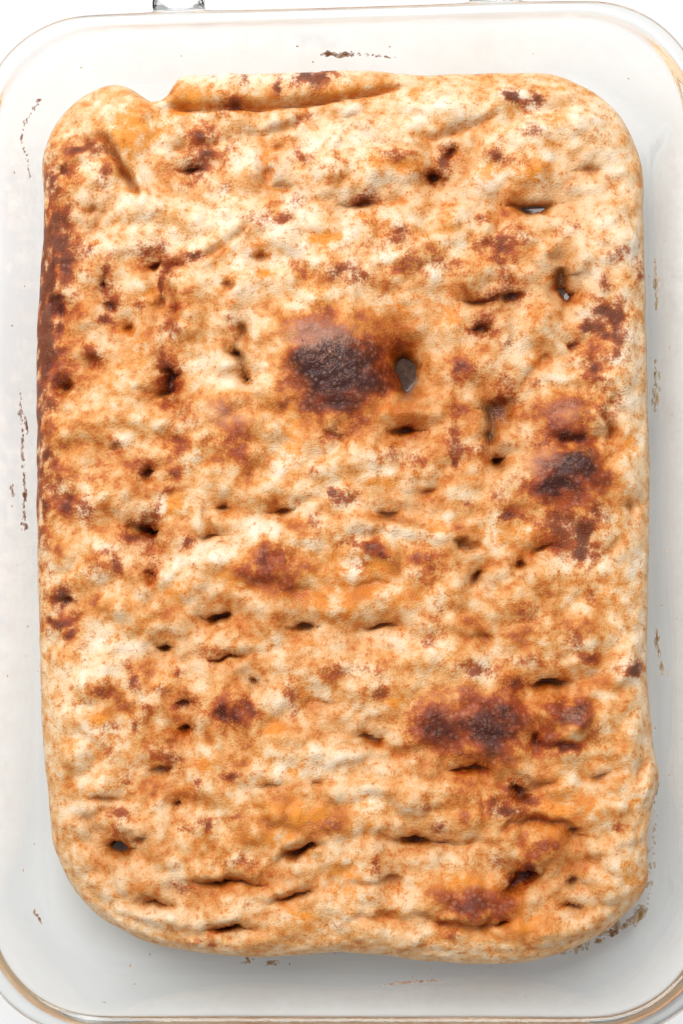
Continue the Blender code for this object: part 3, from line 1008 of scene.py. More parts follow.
# The B rows lay the bloom mostly on the back sides of blisters, where the light falls: partly a painted
# sheen
PATCHES = (
    # the dark band that cinnamon burnt along the left edge
    Patch(C, -101, 98, 19, 66, 0.50), Patch(C, -99, 120, 12, 7, 0.75, 12),
    Patch(C, -89, 129, 12, 6, 0.95), Patch(C, -99, 99, 10, 15, 0.70, 10),
    Patch(C, -98, 88, 12, 5, 0.70, 15), Patch(C, -102, 77, 9, 11, 0.80),
    Patch(C, -103, 60, 10, 20, 0.55), Patch(C, -106, 30, 11, 110, 0.75),
    Patch(C, -103, 70, 16, 50, 0.35), Patch(C, -103, 20, 6, 9, 0.5), Patch(C, -97, 13, 7, 8, 0.60, -20),
    Patch(C, -95, 5, 18, 10, 0.60), Patch(C, -87, 0, 10, 7, 0.35), Patch(C, -97, -28, 8, 7, 0.95),
    Patch(C, -95, -37, 9, 12, 0.90, 15), Patch(C, -102, -36, 6, 6, 0.6),
    Patch(T, -98, 100, 16, 56, 0.16), Patch(T, -97, 60, 18, 34, 0.16), Patch(T, -100, 20, 14, 60, 0.14),
    # the back left quarter
    Patch(C, -82, 118, 6, 10, 0.55), Patch(C, -48, 134, 11, 6, 0.75, 20),
    Patch(C, -46, 126, 18, 9, 0.62, 15), Patch(C, -52, 121, 12, 4, 0.7), Patch(C, -52, 117, 9, 6, 0.4),
    Patch(C, -66, 93, 12, 8, 0.55), Patch(C, -65, 88, 8, 6, 0.6), Patch(C, -81, 87, 5, 9, 0.5),
    Patch(C, -83, 81, 6, 8, 0.5), Patch(C, -80, 74, 6, 10, 0.70, -15), Patch(C, -82, 68, 7, 6, 0.45),
    Patch(C, -52, 90, 8, 4, 0.7), Patch(C, -57, 86, 9, 6, 0.8, 30), Patch(C, -62, 80, 4, 9, 0.6),
    Patch(C, -56, 74, 9, 16, 0.30), Patch(C, -70, 73, 5, 4, 0.6), Patch(C, -59, 64, 8, 8, 0.5),
    Patch(C, -89, 93, 9, 8, 0.35), Patch(C, -11, 149, 11, 6, 1.2), Patch(C, -4, 151, 9, 4, 0.9),
    Patch(C, -38, 142, 9, 4, 0.85), Patch(C, -33, 148, 4, 4, 0.8), Patch(C, -21, 147, 3, 4, 0.8),
    Patch(C, -44, 149, 3, 3, 0.6), Patch(C, -12, 138, 8, 4, 0.70, 25), Patch(C, -14, 125, 8, 9, 0.42),
    Patch(C, -15, 109, 9, 5, 0.55), Patch(C, -19, 101, 11, 5, 0.50), Patch(C, -29, 103, 14, 5, 0.30),
    Patch(C, -40, 114, 4, 4, 0.5), Patch(C, -14, 71, 6, 6, 0.45), Patch(C, -38, 67, 5, 6, 0.4),
    Patch(C, -16, 86, 5, 6, 0.35), Patch(A, -74, 133, 17, 17, 0.85), Patch(A, -62, 136, 8, 10, 0.5),
    Patch(A, -54, 143, 12, 7, 0.6), Patch(A, -30, 141, 44, 3, 0.5), Patch(A, 8, 146, 30, 3, 0.4),
    Patch(A, -25, 121, 5, 16, 0.7), Patch(A, -87, 96, 12, 6, 0.4), Patch(A, -66, 76, 10, 7, 0.6),
    Patch(A, -74, 65, 7, 8, 0.7), Patch(A, -28, 83, 12, 5, 0.4, 20), Patch(A, -39, 81, 8, 8, 0.5),
    Patch(A, -28, 91, 7, 7, 0.5), Patch(B, -45, 110, 7, 12, 0.5), Patch(B, -66, 98, 10, 6, 0.4),
    Patch(W, -46, 112, 7, 14, 0.9),
    # the back right quarter
    Patch(C, 59, 144, 8, 5, 1.05), Patch(C, 67, 141, 7, 6, 1.1), Patch(C, 67, 131, 7, 6, 0.85),
    Patch(C, 53, 124, 8, 5, 0.65, -30), Patch(C, 60, 121, 10, 4, 0.55), Patch(C, 20, 123, 14, 6, 0.50),
    Patch(C, 37, 124, 6, 10, 0.7), Patch(C, 32, 117, 11, 6, 0.7), Patch(C, 9, 109, 12, 4, 0.6),
    Patch(C, 53, 92, 12, 12, 0.60, -35), Patch(C, 57, 84, 8, 12, 0.65),
    Patch(C, 62, 95, 7, 6, 0.70, -30), Patch(C, 48, 101, 6, 5, 0.4), Patch(C, 21, 95, 9, 6, 0.5),
    Patch(C, 25, 86, 20, 11, 0.40, -15), Patch(C, 2, 82, 22, 8, 0.60, -15),
    Patch(C, 38, 84, 12, 5, 0.50, -20), Patch(C, 55, 74, 18, 7, 0.75, 8), Patch(C, 48, 63, 9, 8, 0.9),
    Patch(C, 57, 57, 7, 4, 0.5), Patch(C, 91, 66, 8, 12, 0.80, 15), Patch(C, 84, 62, 4, 6, 0.75),
    Patch(C, 93, 57, 7, 8, 0.55), Patch(C, 96, 88, 9, 7, 0.45), Patch(C, 90, 78, 6, 6, 0.5, 30),
    Patch(C, 103, 82, 4, 10, 0.6), Patch(C, 79, 57, 5, 5, 0.5), Patch(C, -2, 120, 14, 9, 0.35),
    Patch(C, 14, 97, 12, 12, 0.28), Patch(C, 78, 97, 8, 6, 0.45), Patch(A, 18, 119, 26, 8, 0.55),
    Patch(A, 50, 117, 9, 6, 0.85), Patch(A, 66, 116, 9, 7, 0.8), Patch(A, 77, 147, 8, 5, 0.75),
    Patch(A, 56, 133, 7, 4, 0.6), Patch(A, 58, 138, 12, 3, 0.6), Patch(A, 38, 99, 10, 10, 0.4),
    Patch(A, 12, 101, 14, 6, 0.5), Patch(A, -4, 95, 16, 5, 0.8), Patch(A, 38, 67, 8, 8, 0.7),
    Patch(A, 86, 94, 8, 8, 0.3), Patch(A, 20, 71, 14, 9, 0.3), Patch(B, 4, 88, 18, 8, 0.45, -15),
    Patch(B, 24, 86, 14, 8, 0.35), Patch(B, 22, 128, 12, 5, 0.45), Patch(T, 53, 88, 26, 24, 0.10),
    Patch(T, 76, 105, 40, 6, 0.08, 4),
    # the middle left
    Patch(C, -60, 50, 7, 14, 0.65, 10), Patch(C, -60, 41, 7, 8, 0.55, -30),
    Patch(C, -87, 56, 8, 8, 0.45), Patch(C, -96, 47, 8, 9, 0.5), Patch(C, -78, 24, 7, 7, 0.55),
    Patch(C, -67, 16, 8, 8, 0.7), Patch(C, -57, 26, 9, 12, 0.45, -30),
    Patch(C, -57, 15, 6, 18, 0.42, -30), Patch(C, -62, 5, 4, 14, 0.5, -30),
    Patch(C, -70, -2, 14, 6, 0.7), Patch(C, -66, -8, 16, 5, 0.35), Patch(C, -73, -7, 8, 5, 0.45),
    Patch(C, -77, -17, 9, 9, 0.55, 20), Patch(C, -86, -19, 6, 9, 0.6, 15),
    Patch(C, -81, -12, 7, 5, 0.5), Patch(C, -66, -17, 9, 12, 0.5), Patch(C, -54, -9, 7, 4, 0.5),
    Patch(C, -53, 35, 7, 9, 0.35), Patch(C, -42, 26, 10, 5, 0.55), Patch(C, -36, 27, 6, 5, 0.55),
    Patch(C, -35, 20, 16, 6, 0.5), Patch(C, -85, 16, 9, 8, 0.3), Patch(C, -2, 6, 6, 5, 0.7),
    Patch(C, -10, -3, 9, 7, 0.4), Patch(C, -3, 27, 8, 7, 0.65), Patch(C, -11, 15, 7, 8, 0.3),
    Patch(C, -26, -18, 18, 14, 0.60), Patch(C, -21, -15, 8, 6, 0.4), Patch(A, -72, 53, 12, 8, 0.4),
    Patch(A, -58, 4, 6, 12, 0.5), Patch(A, -17, 28, 6, 26, 0.5), Patch(A, -54, -26, 14, 9, 0.5),
    Patch(A, -36, -22, 14, 5, 0.45), Patch(B, -43, 35, 14, 10, 0.85), Patch(B, -34, 32, 10, 5, 0.7),
    Patch(B, -12, 62, 18, 10, 0.85), Patch(B, 2, 61, 16, 8, 0.6), Patch(B, -28, -14, 8, 5, 0.3),
    Patch(W, -8, 54, 16, 8, 0.5), Patch(T, -2, 49, 33, 28, 0.44, -24),
    Patch(T, 1, 45, 27, 20, 0.22, -24), Patch(W, -6, 52, 26, 18, 0.8, -24),
    Patch(B, -9, 58, 24, 13, 0.4, -24), Patch(C, -9, 57, 20, 10, 0.4, -24),
    Patch(T, -39, 26, 15, 7, 0.18), Patch(A, 5, -22, 46, 24, 0.35), Patch(T, 2, -24, 60, 20, 0.07),
    Patch(C, -3, 40, 24, 8, 0.5, -10), Patch(T, -3, 36, 36, 10, 0.12), Patch(T, -73, 20, 36, 40, 0.05),
    Patch(T, -56, 24, 14, 26, 0.10, -20),
    # the middle right
    Patch(C, 41, 48, 10, 8, 0.85, 20), Patch(C, 38, 26, 5, 14, 0.62, -5),
    Patch(C, 38, 18, 5, 8, 0.6, -20), Patch(C, 44, 22, 10, 5, 0.45), Patch(C, 18, 20, 14, 8, 0.40),
    Patch(C, 26, 16, 10, 7, 0.3), Patch(C, 84, 48, 8, 10, 0.75, 35), Patch(C, 88, 42, 6, 6, 0.6),
    Patch(C, 90, 36, 11, 7, 0.45, 20), Patch(C, 55, 39, 12, 13, 0.55), Patch(C, 66, 44, 5, 4, 0.35),
    Patch(C, 76, 25, 14, 5, 0.5), Patch(C, 72, 8, 16, 8, 0.75), Patch(C, 80, 9, 14, 8, 0.5),
    Patch(C, 86, 15, 6, 12, 0.4), Patch(C, 54, -2, 6, 5, 0.65), Patch(C, 64, -3, 20, 9, 0.35),
    Patch(C, 73, -5, 10, 14, 0.42), Patch(C, 86, -2, 10, 8, 0.55, 20), Patch(C, 78, -12, 16, 12, 0.45),
    Patch(C, 81, -15, 5, 8, 0.65), Patch(C, 12, -14, 10, 5, 0.85, -20), Patch(C, 5, -10, 16, 5, 0.45),
    Patch(C, 4, -18, 10, 5, 0.4), Patch(C, 27, -18, 9, 12, 0.6), Patch(C, 32, -14, 4, 5, 0.6),
    Patch(C, 42, 4, 4, 4, 0.6), Patch(C, 53, 5, 7, 5, 0.3), Patch(C, 3, 5, 7, 6, 0.5),
    Patch(C, 70, 22, 30, 3, 0.3), Patch(A, 99, 22, 7, 9, 0.7), Patch(A, 32, -4, 7, 6, 0.75),
    Patch(A, 12, 11, 10, 4, 0.6), Patch(A, 12, -18, 9, 4, 0.8), Patch(A, 27, 14, 9, 4, 0.6),
    Patch(A, 60, -6, 20, 6, 0.4), Patch(A, 90, -28, 12, 6, 0.35), Patch(A, 19, 35, 16, 8, 0.35),
    Patch(A, 53, -10, 14, 4, 0.3), Patch(B, 75, 34, 20, 10, 0.75), Patch(B, 65, 16, 10, 9, 0.55),
    Patch(B, 74, 18, 8, 6, 0.5), Patch(B, 53, 6, 9, 7, 0.3), Patch(B, 24, -12, 10, 5, 0.35),
    Patch(B, 41, 52, 6, 4, 0.3), Patch(T, 80, 15, 22, 13, 0.40, -25), Patch(T, 79, 18, 9, 7, 0.24),
    Patch(T, 69, 8, 17, 8, 0.44, 10), Patch(T, 79, 25, 12, 4, 0.55, -12), Patch(B, 67, 17, 11, 8, 0.5),
    Patch(T, 76, 32, 20, 14, 0.34), Patch(C, 77, 31, 20, 14, 0.6), Patch(C, 68, 8, 16, 8, 0.5),
    Patch(W, 77, 20, 18, 16, 0.5), Patch(T, 68, 0, 50, 16, 0.10, 6), Patch(T, 30, 24, 50, 30, 0.03),
    Patch(T, 87, 52, 18, 30, 0.08),
    # the front left
    Patch(C, -38, -66, 17, 9, 0.80), Patch(C, -38, -69, 14, 4, 0.4),
    Patch(C, -83, -60, 14, 7, 0.45, 10), Patch(C, -72, -55, 5, 12, 0.55, 20),
    Patch(C, -89, -50, 4, 5, 0.5), Patch(C, -62, -59, 5, 5, 0.7), Patch(C, -57, -54, 4, 4, 0.6),
    Patch(C, -54, -64, 9, 5, 0.6), Patch(C, -68, -66, 6, 8, 0.5, 20), Patch(C, -79, -72, 8, 5, 0.5),
    Patch(C, -71, -72, 3, 4, 0.6), Patch(C, -55, -72, 6, 6, 0.4), Patch(C, -44, -47, 8, 6, 0.5),
    Patch(C, -50, -45, 3, 7, 0.5), Patch(C, -18, -62, 5, 12, 0.65, 12),
    Patch(C, -59, -82, 9, 4, 0.55, -15), Patch(C, -64, -80, 7, 5, 0.5), Patch(C, -63, -87, 10, 5, 0.35),
    Patch(C, -38, -89, 9, 4, 0.6), Patch(C, -50, -91, 4, 4, 0.6), Patch(C, -75, -91, 6, 5, 0.45),
    Patch(C, -80, -80, 3, 4, 0.5), Patch(C, -47, -104, 6, 5, 0.7), Patch(C, -38, -102, 7, 4, 0.45),
    Patch(C, -55, -106, 5, 3, 0.6), Patch(C, -78, -101, 7, 5, 0.5), Patch(C, -76, -107, 10, 4, 0.5),
    Patch(C, -36, -118, 10, 4, 0.65, -5), Patch(C, -55, -126, 9, 4, 0.4, -20),
    Patch(C, -41, -139, 12, 4, 0.5), Patch(C, -48, -144, 10, 4, 0.35), Patch(C, -43, -147, 9, 2.5, 0.4),
    Patch(C, -36, -131, 7, 3, 0.5), Patch(C, -4, -138, 6, 3, 0.4), Patch(C, -4, -53, 12, 6, 0.35),
    Patch(C, -2, -33, 7, 7, 0.3), Patch(A, -62, -57, 7, 4, 0.9), Patch(A, -84, -68, 6, 4, 0.6),
    Patch(A, -48, -84, 8, 5, 0.6), Patch(A, -17, -86, 8, 6, 0.6), Patch(A, -25, -73, 10, 5, 0.6),
    Patch(A, -4, -33, 12, 7, 0.6), Patch(A, -10, -101, 30, 9, 0.6), Patch(A, -25, -110, 12, 12, 0.5),
    Patch(A, -2, -121, 14, 10, 0.6), Patch(A, -14, -134, 12, 5, 0.6), Patch(A, -24, -98, 9, 4, 0.5),
    Patch(A, -71, -82, 8, 8, 0.3), Patch(T, -62, -70, 30, 44, 0.08), Patch(T, -14, -103, 34, 12, 0.14),
    Patch(T, -30, -75, 40, 24, 0.06), Patch(T, -85, -62, 22, 14, 0.05),
    Patch(T, -45, -130, 70, 40, 0.04),
    # the front right
    Patch(C, 45, -54, 12, 6, 0.85, -22), Patch(C, 57, -58, 6, 5, 0.8), Patch(C, 62, -34, 10, 9, 0.42),
    Patch(C, 62, -50, 18, 5, 0.45), Patch(C, 78, -44, 5, 10, 0.55), Patch(C, 82, -49, 7, 4, 0.5),
    Patch(C, 30, -72, 20, 14, 0.62), Patch(C, 50, -66, 12, 8, 0.60), Patch(C, 55, -72, 12, 14, 0.60),
    Patch(C, 45, -76, 20, 8, 0.45), Patch(C, 40, -64, 14, 6, 0.30), Patch(C, 73, -66, 10, 5, 0.55),
    Patch(C, 73, -79, 15, 4, 0.55), Patch(C, 84, -74, 7, 8, 0.35), Patch(C, 64, -76, 5, 9, 0.5),
    Patch(C, 57, -92, 9, 6, 0.75), Patch(C, 60, -97, 12, 5, 0.6), Patch(C, 52, -99, 8, 6, 0.6),
    Patch(C, 42, -97, 20, 8, 0.35), Patch(C, 31, -105, 6, 4, 0.6), Patch(C, 26, -98, 8, 5, 0.4),
    Patch(C, 66, -112, 10, 7, 0.65), Patch(C, 60, -119, 9, 8, 0.75), Patch(C, 56, -124, 7, 7, 0.6),
    Patch(C, 51, -116, 5, 5, 0.5), Patch(C, 42, -129, 16, 5, 0.60, -15), Patch(C, 42, -135, 20, 5, 0.4),
    Patch(C, 36, -142, 4, 4, 0.4), Patch(C, 98, -54, 4, 5, 0.8), Patch(C, 90, -106, 5, 4, 0.5),
    Patch(C, 32, -35, 8, 18, 0.32), Patch(C, 12, -60, 8, 6, 0.55), Patch(C, 5, -53, 22, 5, 0.3),
    Patch(C, 28, -44, 4, 4, 0.55), Patch(C, 10, -118, 4, 6, 0.4), Patch(C, 83, -29, 4, 5, 0.45),
    Patch(C, 76, -41, 16, 3, 0.3), Patch(C, 95, -54, 14, 6, 0.3), Patch(C, 55, -101, 18, 4, 0.5),
    Patch(A, 16, -64, 7, 6, 0.7), Patch(A, 70, -97, 22, 10, 0.6), Patch(A, 44, -98, 22, 10, 0.45),
    Patch(A, 68, -108, 14, 6, 0.6), Patch(A, 95, -125, 9, 14, 0.8), Patch(A, 56, -55, 8, 6, 0.5),
    Patch(A, 40, -124, 22, 7, 0.5), Patch(A, 58, -137, 14, 6, 0.5), Patch(A, 4, -128, 10, 4, 0.5),
    Patch(A, 90, -84, 20, 16, 0.25), Patch(A, 86, -55, 20, 10, 0.3), Patch(A, 102, -92, 6, 12, 0.5),
    Patch(A, 96, -97, 5, 8, 0.5), Patch(A, 34, -144, 7, 6, 0.5), Patch(A, 74, -77, 10, 3, 0.5),
    Patch(B, 76, -68, 9, 7, 0.7, 30), Patch(T, 76, -68, 12, 9, 0.42, 30),
    Patch(C, 75, -68, 13, 10, 0.5, 30), Patch(C, 72, -79, 16, 5, 0.6),
    Patch(C, 76, -74, 17, 3, -0.1, 30), Patch(B, 73, -59, 12, 4, 0.7), Patch(B, 30, -63, 12, 5, 0.4),
    Patch(B, 42, -60, 14, 6, 0.4), Patch(B, 36, -69, 14, 8, 0.4), Patch(W, 73, -60, 12, 4, 0.9),
    Patch(W, 62, -107, 10, 4, 1.0), Patch(W, 74, -69, 10, 7, 0.5), Patch(W, 36, -70, 16, 8, 0.4),
    Patch(T, 42, -73, 42, 18, 0.30), Patch(T, 50, -69, 22, 17, 0.14), Patch(C, 38, -71, 40, 17, 0.20),
    Patch(T, 46, -82, 26, 9, 0.14), Patch(T, 40, -98, 44, 16, 0.12), Patch(T, 42, -131, 32, 13, 0.20),
    Patch(T, 72, -78, 20, 5, 0.14), Patch(T, 70, -100, 40, 24, 0.06), Patch(T, 96, -126, 8, 18, 0.10),
    Patch(T, 30, -20, 60, 40, 0.03), Patch(T, 70, -40, 50, 30, 0.04),
    # broad browning
    Patch(T, -60, 50, 14, 20, 0.12, 10), Patch(C, 91, 62, 17, 26, 0.45, 10),
    Patch(T, 91, 60, 18, 26, 0.10), Patch(T, 60, -38, 34, 18, 0.13), Patch(T, 75, 5, 34, 18, 0.12),
    Patch(T, 38, 36, 16, 16, 0.10), Patch(T, 52, -84, 22, 12, 0.15), Patch(T, -36, -82, 17, 14, 0.13),
    Patch(T, -44, -118, 40, 36, 0.08), Patch(T, 54, -141, 30, 12, 0.13),
    Patch(T, 62, -112, 30, 16, 0.10), Patch(T, 82, -66, 18, 70, 0.07), Patch(C, 81, -8, 17, 19, 0.40),
    Patch(T, -66, -22, 18, 16, 0.09), Patch(T, -96, -36, 14, 14, 0.14),
    Patch(C, -60, 50, 10, 18, 0.30, 10), Patch(T, -85, 20, 30, 120, 0.05),
    # where the dough stayed pale
    Patch(T, 0, 117, 110, 34, -0.09), Patch(T, -36, 80, 22, 18, -0.13), Patch(T, 74, 82, 34, 15, -0.13),
    Patch(T, 88, 108, 30, 70, -0.07), Patch(T, 99, -10, 12, 150, -0.08),
    Patch(T, -20, 97, 50, 22, -0.14), Patch(T, 6, 132, 40, 14, -0.16), Patch(T, 42, 142, 50, 14, -0.12),
    Patch(T, 90, 128, 30, 36, -0.10), Patch(T, 96, 94, 20, 20, -0.10), Patch(T, 99, 50, 12, 60, -0.10),
    Patch(T, 97, -30, 12, 60, -0.08), Patch(T, 20, -7, 40, 6, -0.22, -10),
    Patch(T, -32, -8, 24, 8, -0.20, 20), Patch(T, -46, -14, 16, 12, -0.16),
    Patch(T, -32, 60, 12, 26, -0.16), Patch(T, -43, 50, 14, 14, -0.08), Patch(T, -5, -83, 46, 8, -0.16),
    Patch(T, 6, -96, 22, 12, -0.14, -30), Patch(T, -80, 103, 30, 26, -0.10),
    Patch(T, -93, -60, 22, 30, -0.14), Patch(T, -60, -135, 60, 10, -0.16),
    Patch(T, -62, -121, 30, 8, -0.12), Patch(T, 58, 11, 12, 10, -0.20), Patch(T, 62, 28, 12, 10, -0.18),
    Patch(T, 94, -118, 14, 12, -0.10), Patch(T, 40, 110, 22, 9, -0.14),
    Patch(T, -84, 38, 30, 12, -0.08), Patch(T, 12, -42, 26, 6, -0.14), Patch(T, 64, 68, 30, 8, -0.14),
    Patch(T, -28, 44, 16, 12, -0.12), Patch(T, 64, 52, 24, 8, -0.12), Patch(T, -80, -44, 30, 8, -0.14),
    Patch(T, -56, -19, 12, 8, -0.12), Patch(T, -25, -62, 12, 8, -0.14), Patch(T, 85, 110, 34, 8, -0.05),
    Patch(T, -45, 102, 24, 12, -0.10), Patch(T, 46, -25, 14, 8, -0.14),
    Patch(T, 86, -135, 26, 12, -0.08), Patch(T, 14, -130, 30, 7, -0.12),
    Patch(T, 58, -83, 10, 6, -0.14), Patch(T, 0, -112, 16, 8, -0.12), Patch(T, 22, -141, 24, 7, -0.08),
    Patch(T, 18, 37, 26, 8, -0.06), Patch(T, 93, 34, 10, 14, -0.12), Patch(T, -2, 12, 26, 8, -0.08),
)


@dataclass
class Skin:
    """What the crust is like at many places: its lift and its slide in millimetres, and its masks."""

    lift: np.ndarray
    slide: np.ndarray
    masks: dict[Mask, np.ndarray]


@dataclass
class Focaccia:
    """The baked slab, a little off the dish's middle.

    The lifts, the slide, the roll and the bulges are in millimetres. A bulge is given by its place
    across and along, its reach and how far outwards it pushes the side.
    """

    left: float = -0.1085
    right: float = 0.1055
    front: float = -0.1530
    back: float = 0.1559
    corners: dict = field(default_factory=lambda: {
        (1, 1): 0.040, (-1, 1): 0.033, (-1, -1): 0.047, (1, -1): 0.031})
    corner_shrink: float = 0.42
    base: float = 0.0058
    widest_level: float = 0.026
    shoulder_level: float = 0.0375
    shoulder_inset: float = 0.013
    shoulder_start: float = 0.857
    dome_rise: float = 0.0045
    base_inset: float = 0.0165
    cells: tuple[int, int] = (230, 334)
    side_rings: int = 10
    base_rings: int = 4
    highest: float = 0.0462
    cap: float = 0.0012
    settle: float = -0.6
    swell_lift: float = 1.2
    lobe_lift: float = 5.4
    puff_lift: float = 2.1
    fine_lift: float = 0.12
    warmth: float = 0.31
    roll: Crease = Crease((-58.0, 143.2), (31.0, 151.5), 3.2, 2.0, -4.2, 4.0)
    roll_width: float = 11.0
    roll_slide: float = 4.6
    bulges: tuple = (
        (-84, 150, 12, 0.4), (-66, 156, 8, -7.5), (-2, -153, 26, -4.0), (-50, -153, 26, -1.5),
        (-76, -146, 26, -6.0), (-100, -128, 26, -5.5), (-109, -100, 24, -3.0), (104, -112, 14, -3.0),
        (80, -151, 15, -5.0), (99, -141, 18, -6.5), (105, -90, 7, 1.6), (-108, -60, 40, -1.8),
        (-108, 58, 26, 0.3), (-107, 108, 26, -2.0), (105, -52, 34, -2.4))
    surface: BVHTree | None = field(default=None, init=False)

    @staticmethod
    def _distance(mark: Blister | Dimple | Patch, x: np.ndarray, y: np.ndarray) -> np.ndarray:
        """How many of its own half widths each place is from a mark's middle.

        Args:
            mark: The mark.
            x: Places across, in millimetres.
            y: Places along, in millimetres.

        Returns:
            0 at the middle and 1 at the mark's edge.
        """
        turn = math.radians(mark.turn)
        east, north = x - mark.x, y - mark.y
        along_x = east * math.cos(turn) + north * math.sin(turn)
        along_y = north * math.cos(turn) - east * math.sin(turn)
        return np.hypot(along_x / (mark.across / 2), along_y / (mark.along / 2))

    @staticmethod
    def _line(crease: Crease, x: np.ndarray, y: np.ndarray) -> tuple[np.ndarray, np.ndarray]:
        """Where places lie beside a crease.

        Args:
            crease: The crease.
            x: Places across, in millimetres.
            y: Places along, in millimetres.

        Returns:
            How far each place is off the crease's line, and its share of the way along it.
        """
        run = np.subtract(crease.end, crease.start)
        length = float(np.hypot(*run))
        east, north = x - crease.start[0], y - crease.start[1]
        share = (east * run[0] + north * run[1]) / length ** 2
        off = (run[0] * north - run[1] * east) / length
        off = off - crease.bow * 4 * share * (1 - share)
        return off, share

    def _roll(self, x: np.ndarray, y: np.ndarray, skin: Skin) -> None:
        """The dough rolled over along the back edge, like a rope laid behind a crease, with painted
        shade in the crease and at its front foot and a painted highlight along its lit top.

        Args:
            x: Places across, in millimetres.
            y: Places along, in millimetres.
            skin: What is changed.
        """
        off, share = self._line(self.roll, x, y)
        fade = smooth_step(-0.04, 0.03, share) * (1 - smooth_step(0.75, 1.04, share))
        rope = np.sin(np.clip(off / self.roll_width, 0.0, 1.0) * math.pi) ** 0.6
        skin.lift += fade * self.roll.step * rope
        skin.slide += fade * self.roll_slide * smooth_step(0.0, 0.8, off / self.roll_width)
        crease = fade * np.exp(-((off / (self.roll.width / 2)) ** 2))
        skin.lift -= self.roll.depth * crease
        # Painted shade in the crease
        skin.masks[Mask.HOLLOW_SHADE] += 0.4 * crease
        # Painted shade, browner and more amber, at the rope's front foot, and a painted highlight,
        # paler, along its top where the light from the back falls
        skin.masks[Mask.TOAST] += fade * 0.10 * np.exp(-(((off - 1.5) / 2.0) ** 2))
        skin.masks[Mask.AMBER] += fade * 0.2 * np.exp(-(((off - 2.0) / 2.4) ** 2))
        skin.masks[Mask.TOAST] -= fade * 0.24 * np.exp(-(((off - 7.5) / 2.6) ** 2))

    def _press(self, x: np.ndarray, y: np.ndarray, skin: Skin) -> None:
        """The fingertips' hollows, steep at the back and running out softly to the front, with painted
        shade.

        Args:
            x: Places across, in millimetres.
            y: Places along, in millimetres.
            skin: What is changed.
        """
        for dimple in DIMPLES:
            behind = y > dimple.y
            stretched = dimple.y + (y - dimple.y) * np.where(behind, 1.2, 0.75)
            distance = self._distance(dimple, x, stretched)
            core = 1 - smooth_step(0.2, 1.35, distance)
            funnel = np.exp(-((distance / 2.6) ** 2))
            skin.lift -= dimple.depth * (0.58 * core + 0.34 * funnel)
            skin.lift += 0.06 * dimple.depth * np.exp(-(((distance - 2.7) / 0.9) ** 2))
            lip = behind * np.exp(-(((distance - 1.15) / 0.5) ** 2))
            skin.slide -= min(1.7, 0.35 + 0.13 * dimple.depth) * lip
            # Painted shade: each hollow's colour darkened, most in its hole
            shade = min(0.9, 0.16 + dimple.depth / 14)
            hole = 1 - smooth_step(0.1, 1.15, distance)
            skin.masks[Mask.HOLLOW_SHADE] += shade * (0.66 * hole + 0.34 * funnel)
            skin.masks[Mask.WET] += 0.8 * (1 - smooth_step(0.6, 1.5, distance))

    def _fold(self, x: np.ndarray, y: np.ndarray, skin: Skin) -> None:
        """The creases between folds, each with its higher side and painted shade along its line.

        Args:
            x: Places across, in millimetres.
            y: Places along, in millimetres.
            skin: What is changed.
        """
        for crease in CREASES:
            off, share = self._line(crease, x, y)
            taper = np.clip(1.15 - (2 * share - 1) ** 2, 0.0, 1.0) ** 0.8
            half = crease.width * (0.35 + 0.3 * taper)
            line = taper * np.exp(-((off / half) ** 2))
            skin.lift -= 0.85 * crease.depth * line
            skin.lift += taper * crease.step * np.exp(-(((off - 2.8) / 2.2) ** 2))
            # Painted shade along the crease
            skin.masks[Mask.HOLLOW_SHADE] += min(0.6, 0.10 * crease.depth) * line

    def skin_at(self, x: np.ndarray, y: np.ndarray, flat_x: np.ndarray, flat_y: np.ndarray) -> Skin:
        """Works out the crust's lift, browning, cinnamon, oil, bloom with painted sheen and painted
        shade.

        Args:
            x: Places across, in millimetres.
            y: Places along, in millimetres.
            flat_x: The same with the sides folded outwards, so that no noise is drawn out down them.
            flat_y: The same along.

        Returns:
            The skin at each place.
        """
        swell = lumps(flat_x, flat_y, 30, 30, 3.7)
        lobes = np.sqrt(lumps(flat_x, flat_y, 15, 12.5, 11.2) ** 2 + 0.014)
        puffs = np.sqrt(lumps(flat_x, flat_y, 6.6, 6.0, 5.1) ** 2 + 0.012)
        drift = lumps(flat_x, flat_y, 9, 7, 61.0)
        sway_x = 1.6 * lumps(flat_x, flat_y, 8, 8, 21.0) + 0.8 * lumps(flat_x, flat_y, 3.2, 3.2, 23.0)
        sway_y = 1.6 * lumps(flat_x, flat_y, 8, 8, 31.0) + 0.8 * lumps(flat_x, flat_y, 3.2, 3.2, 33.0)
        warped_x, warped_y = x + sway_x, y + sway_y
        spots = lumps(flat_x + 1.5 * sway_x, flat_y + 1.5 * sway_y, 4.9, 4.3, 41.0)
        fine = lumps(flat_x, flat_y, 2.8, 2.3, 8.4)
        masks = {mask: np.zeros_like(x) for mask in Mask}
        even = 1 - 0.5 * smooth_step(70, 120, -y)
        blotches = (0.24 * drift + 0.12 * spots) * even
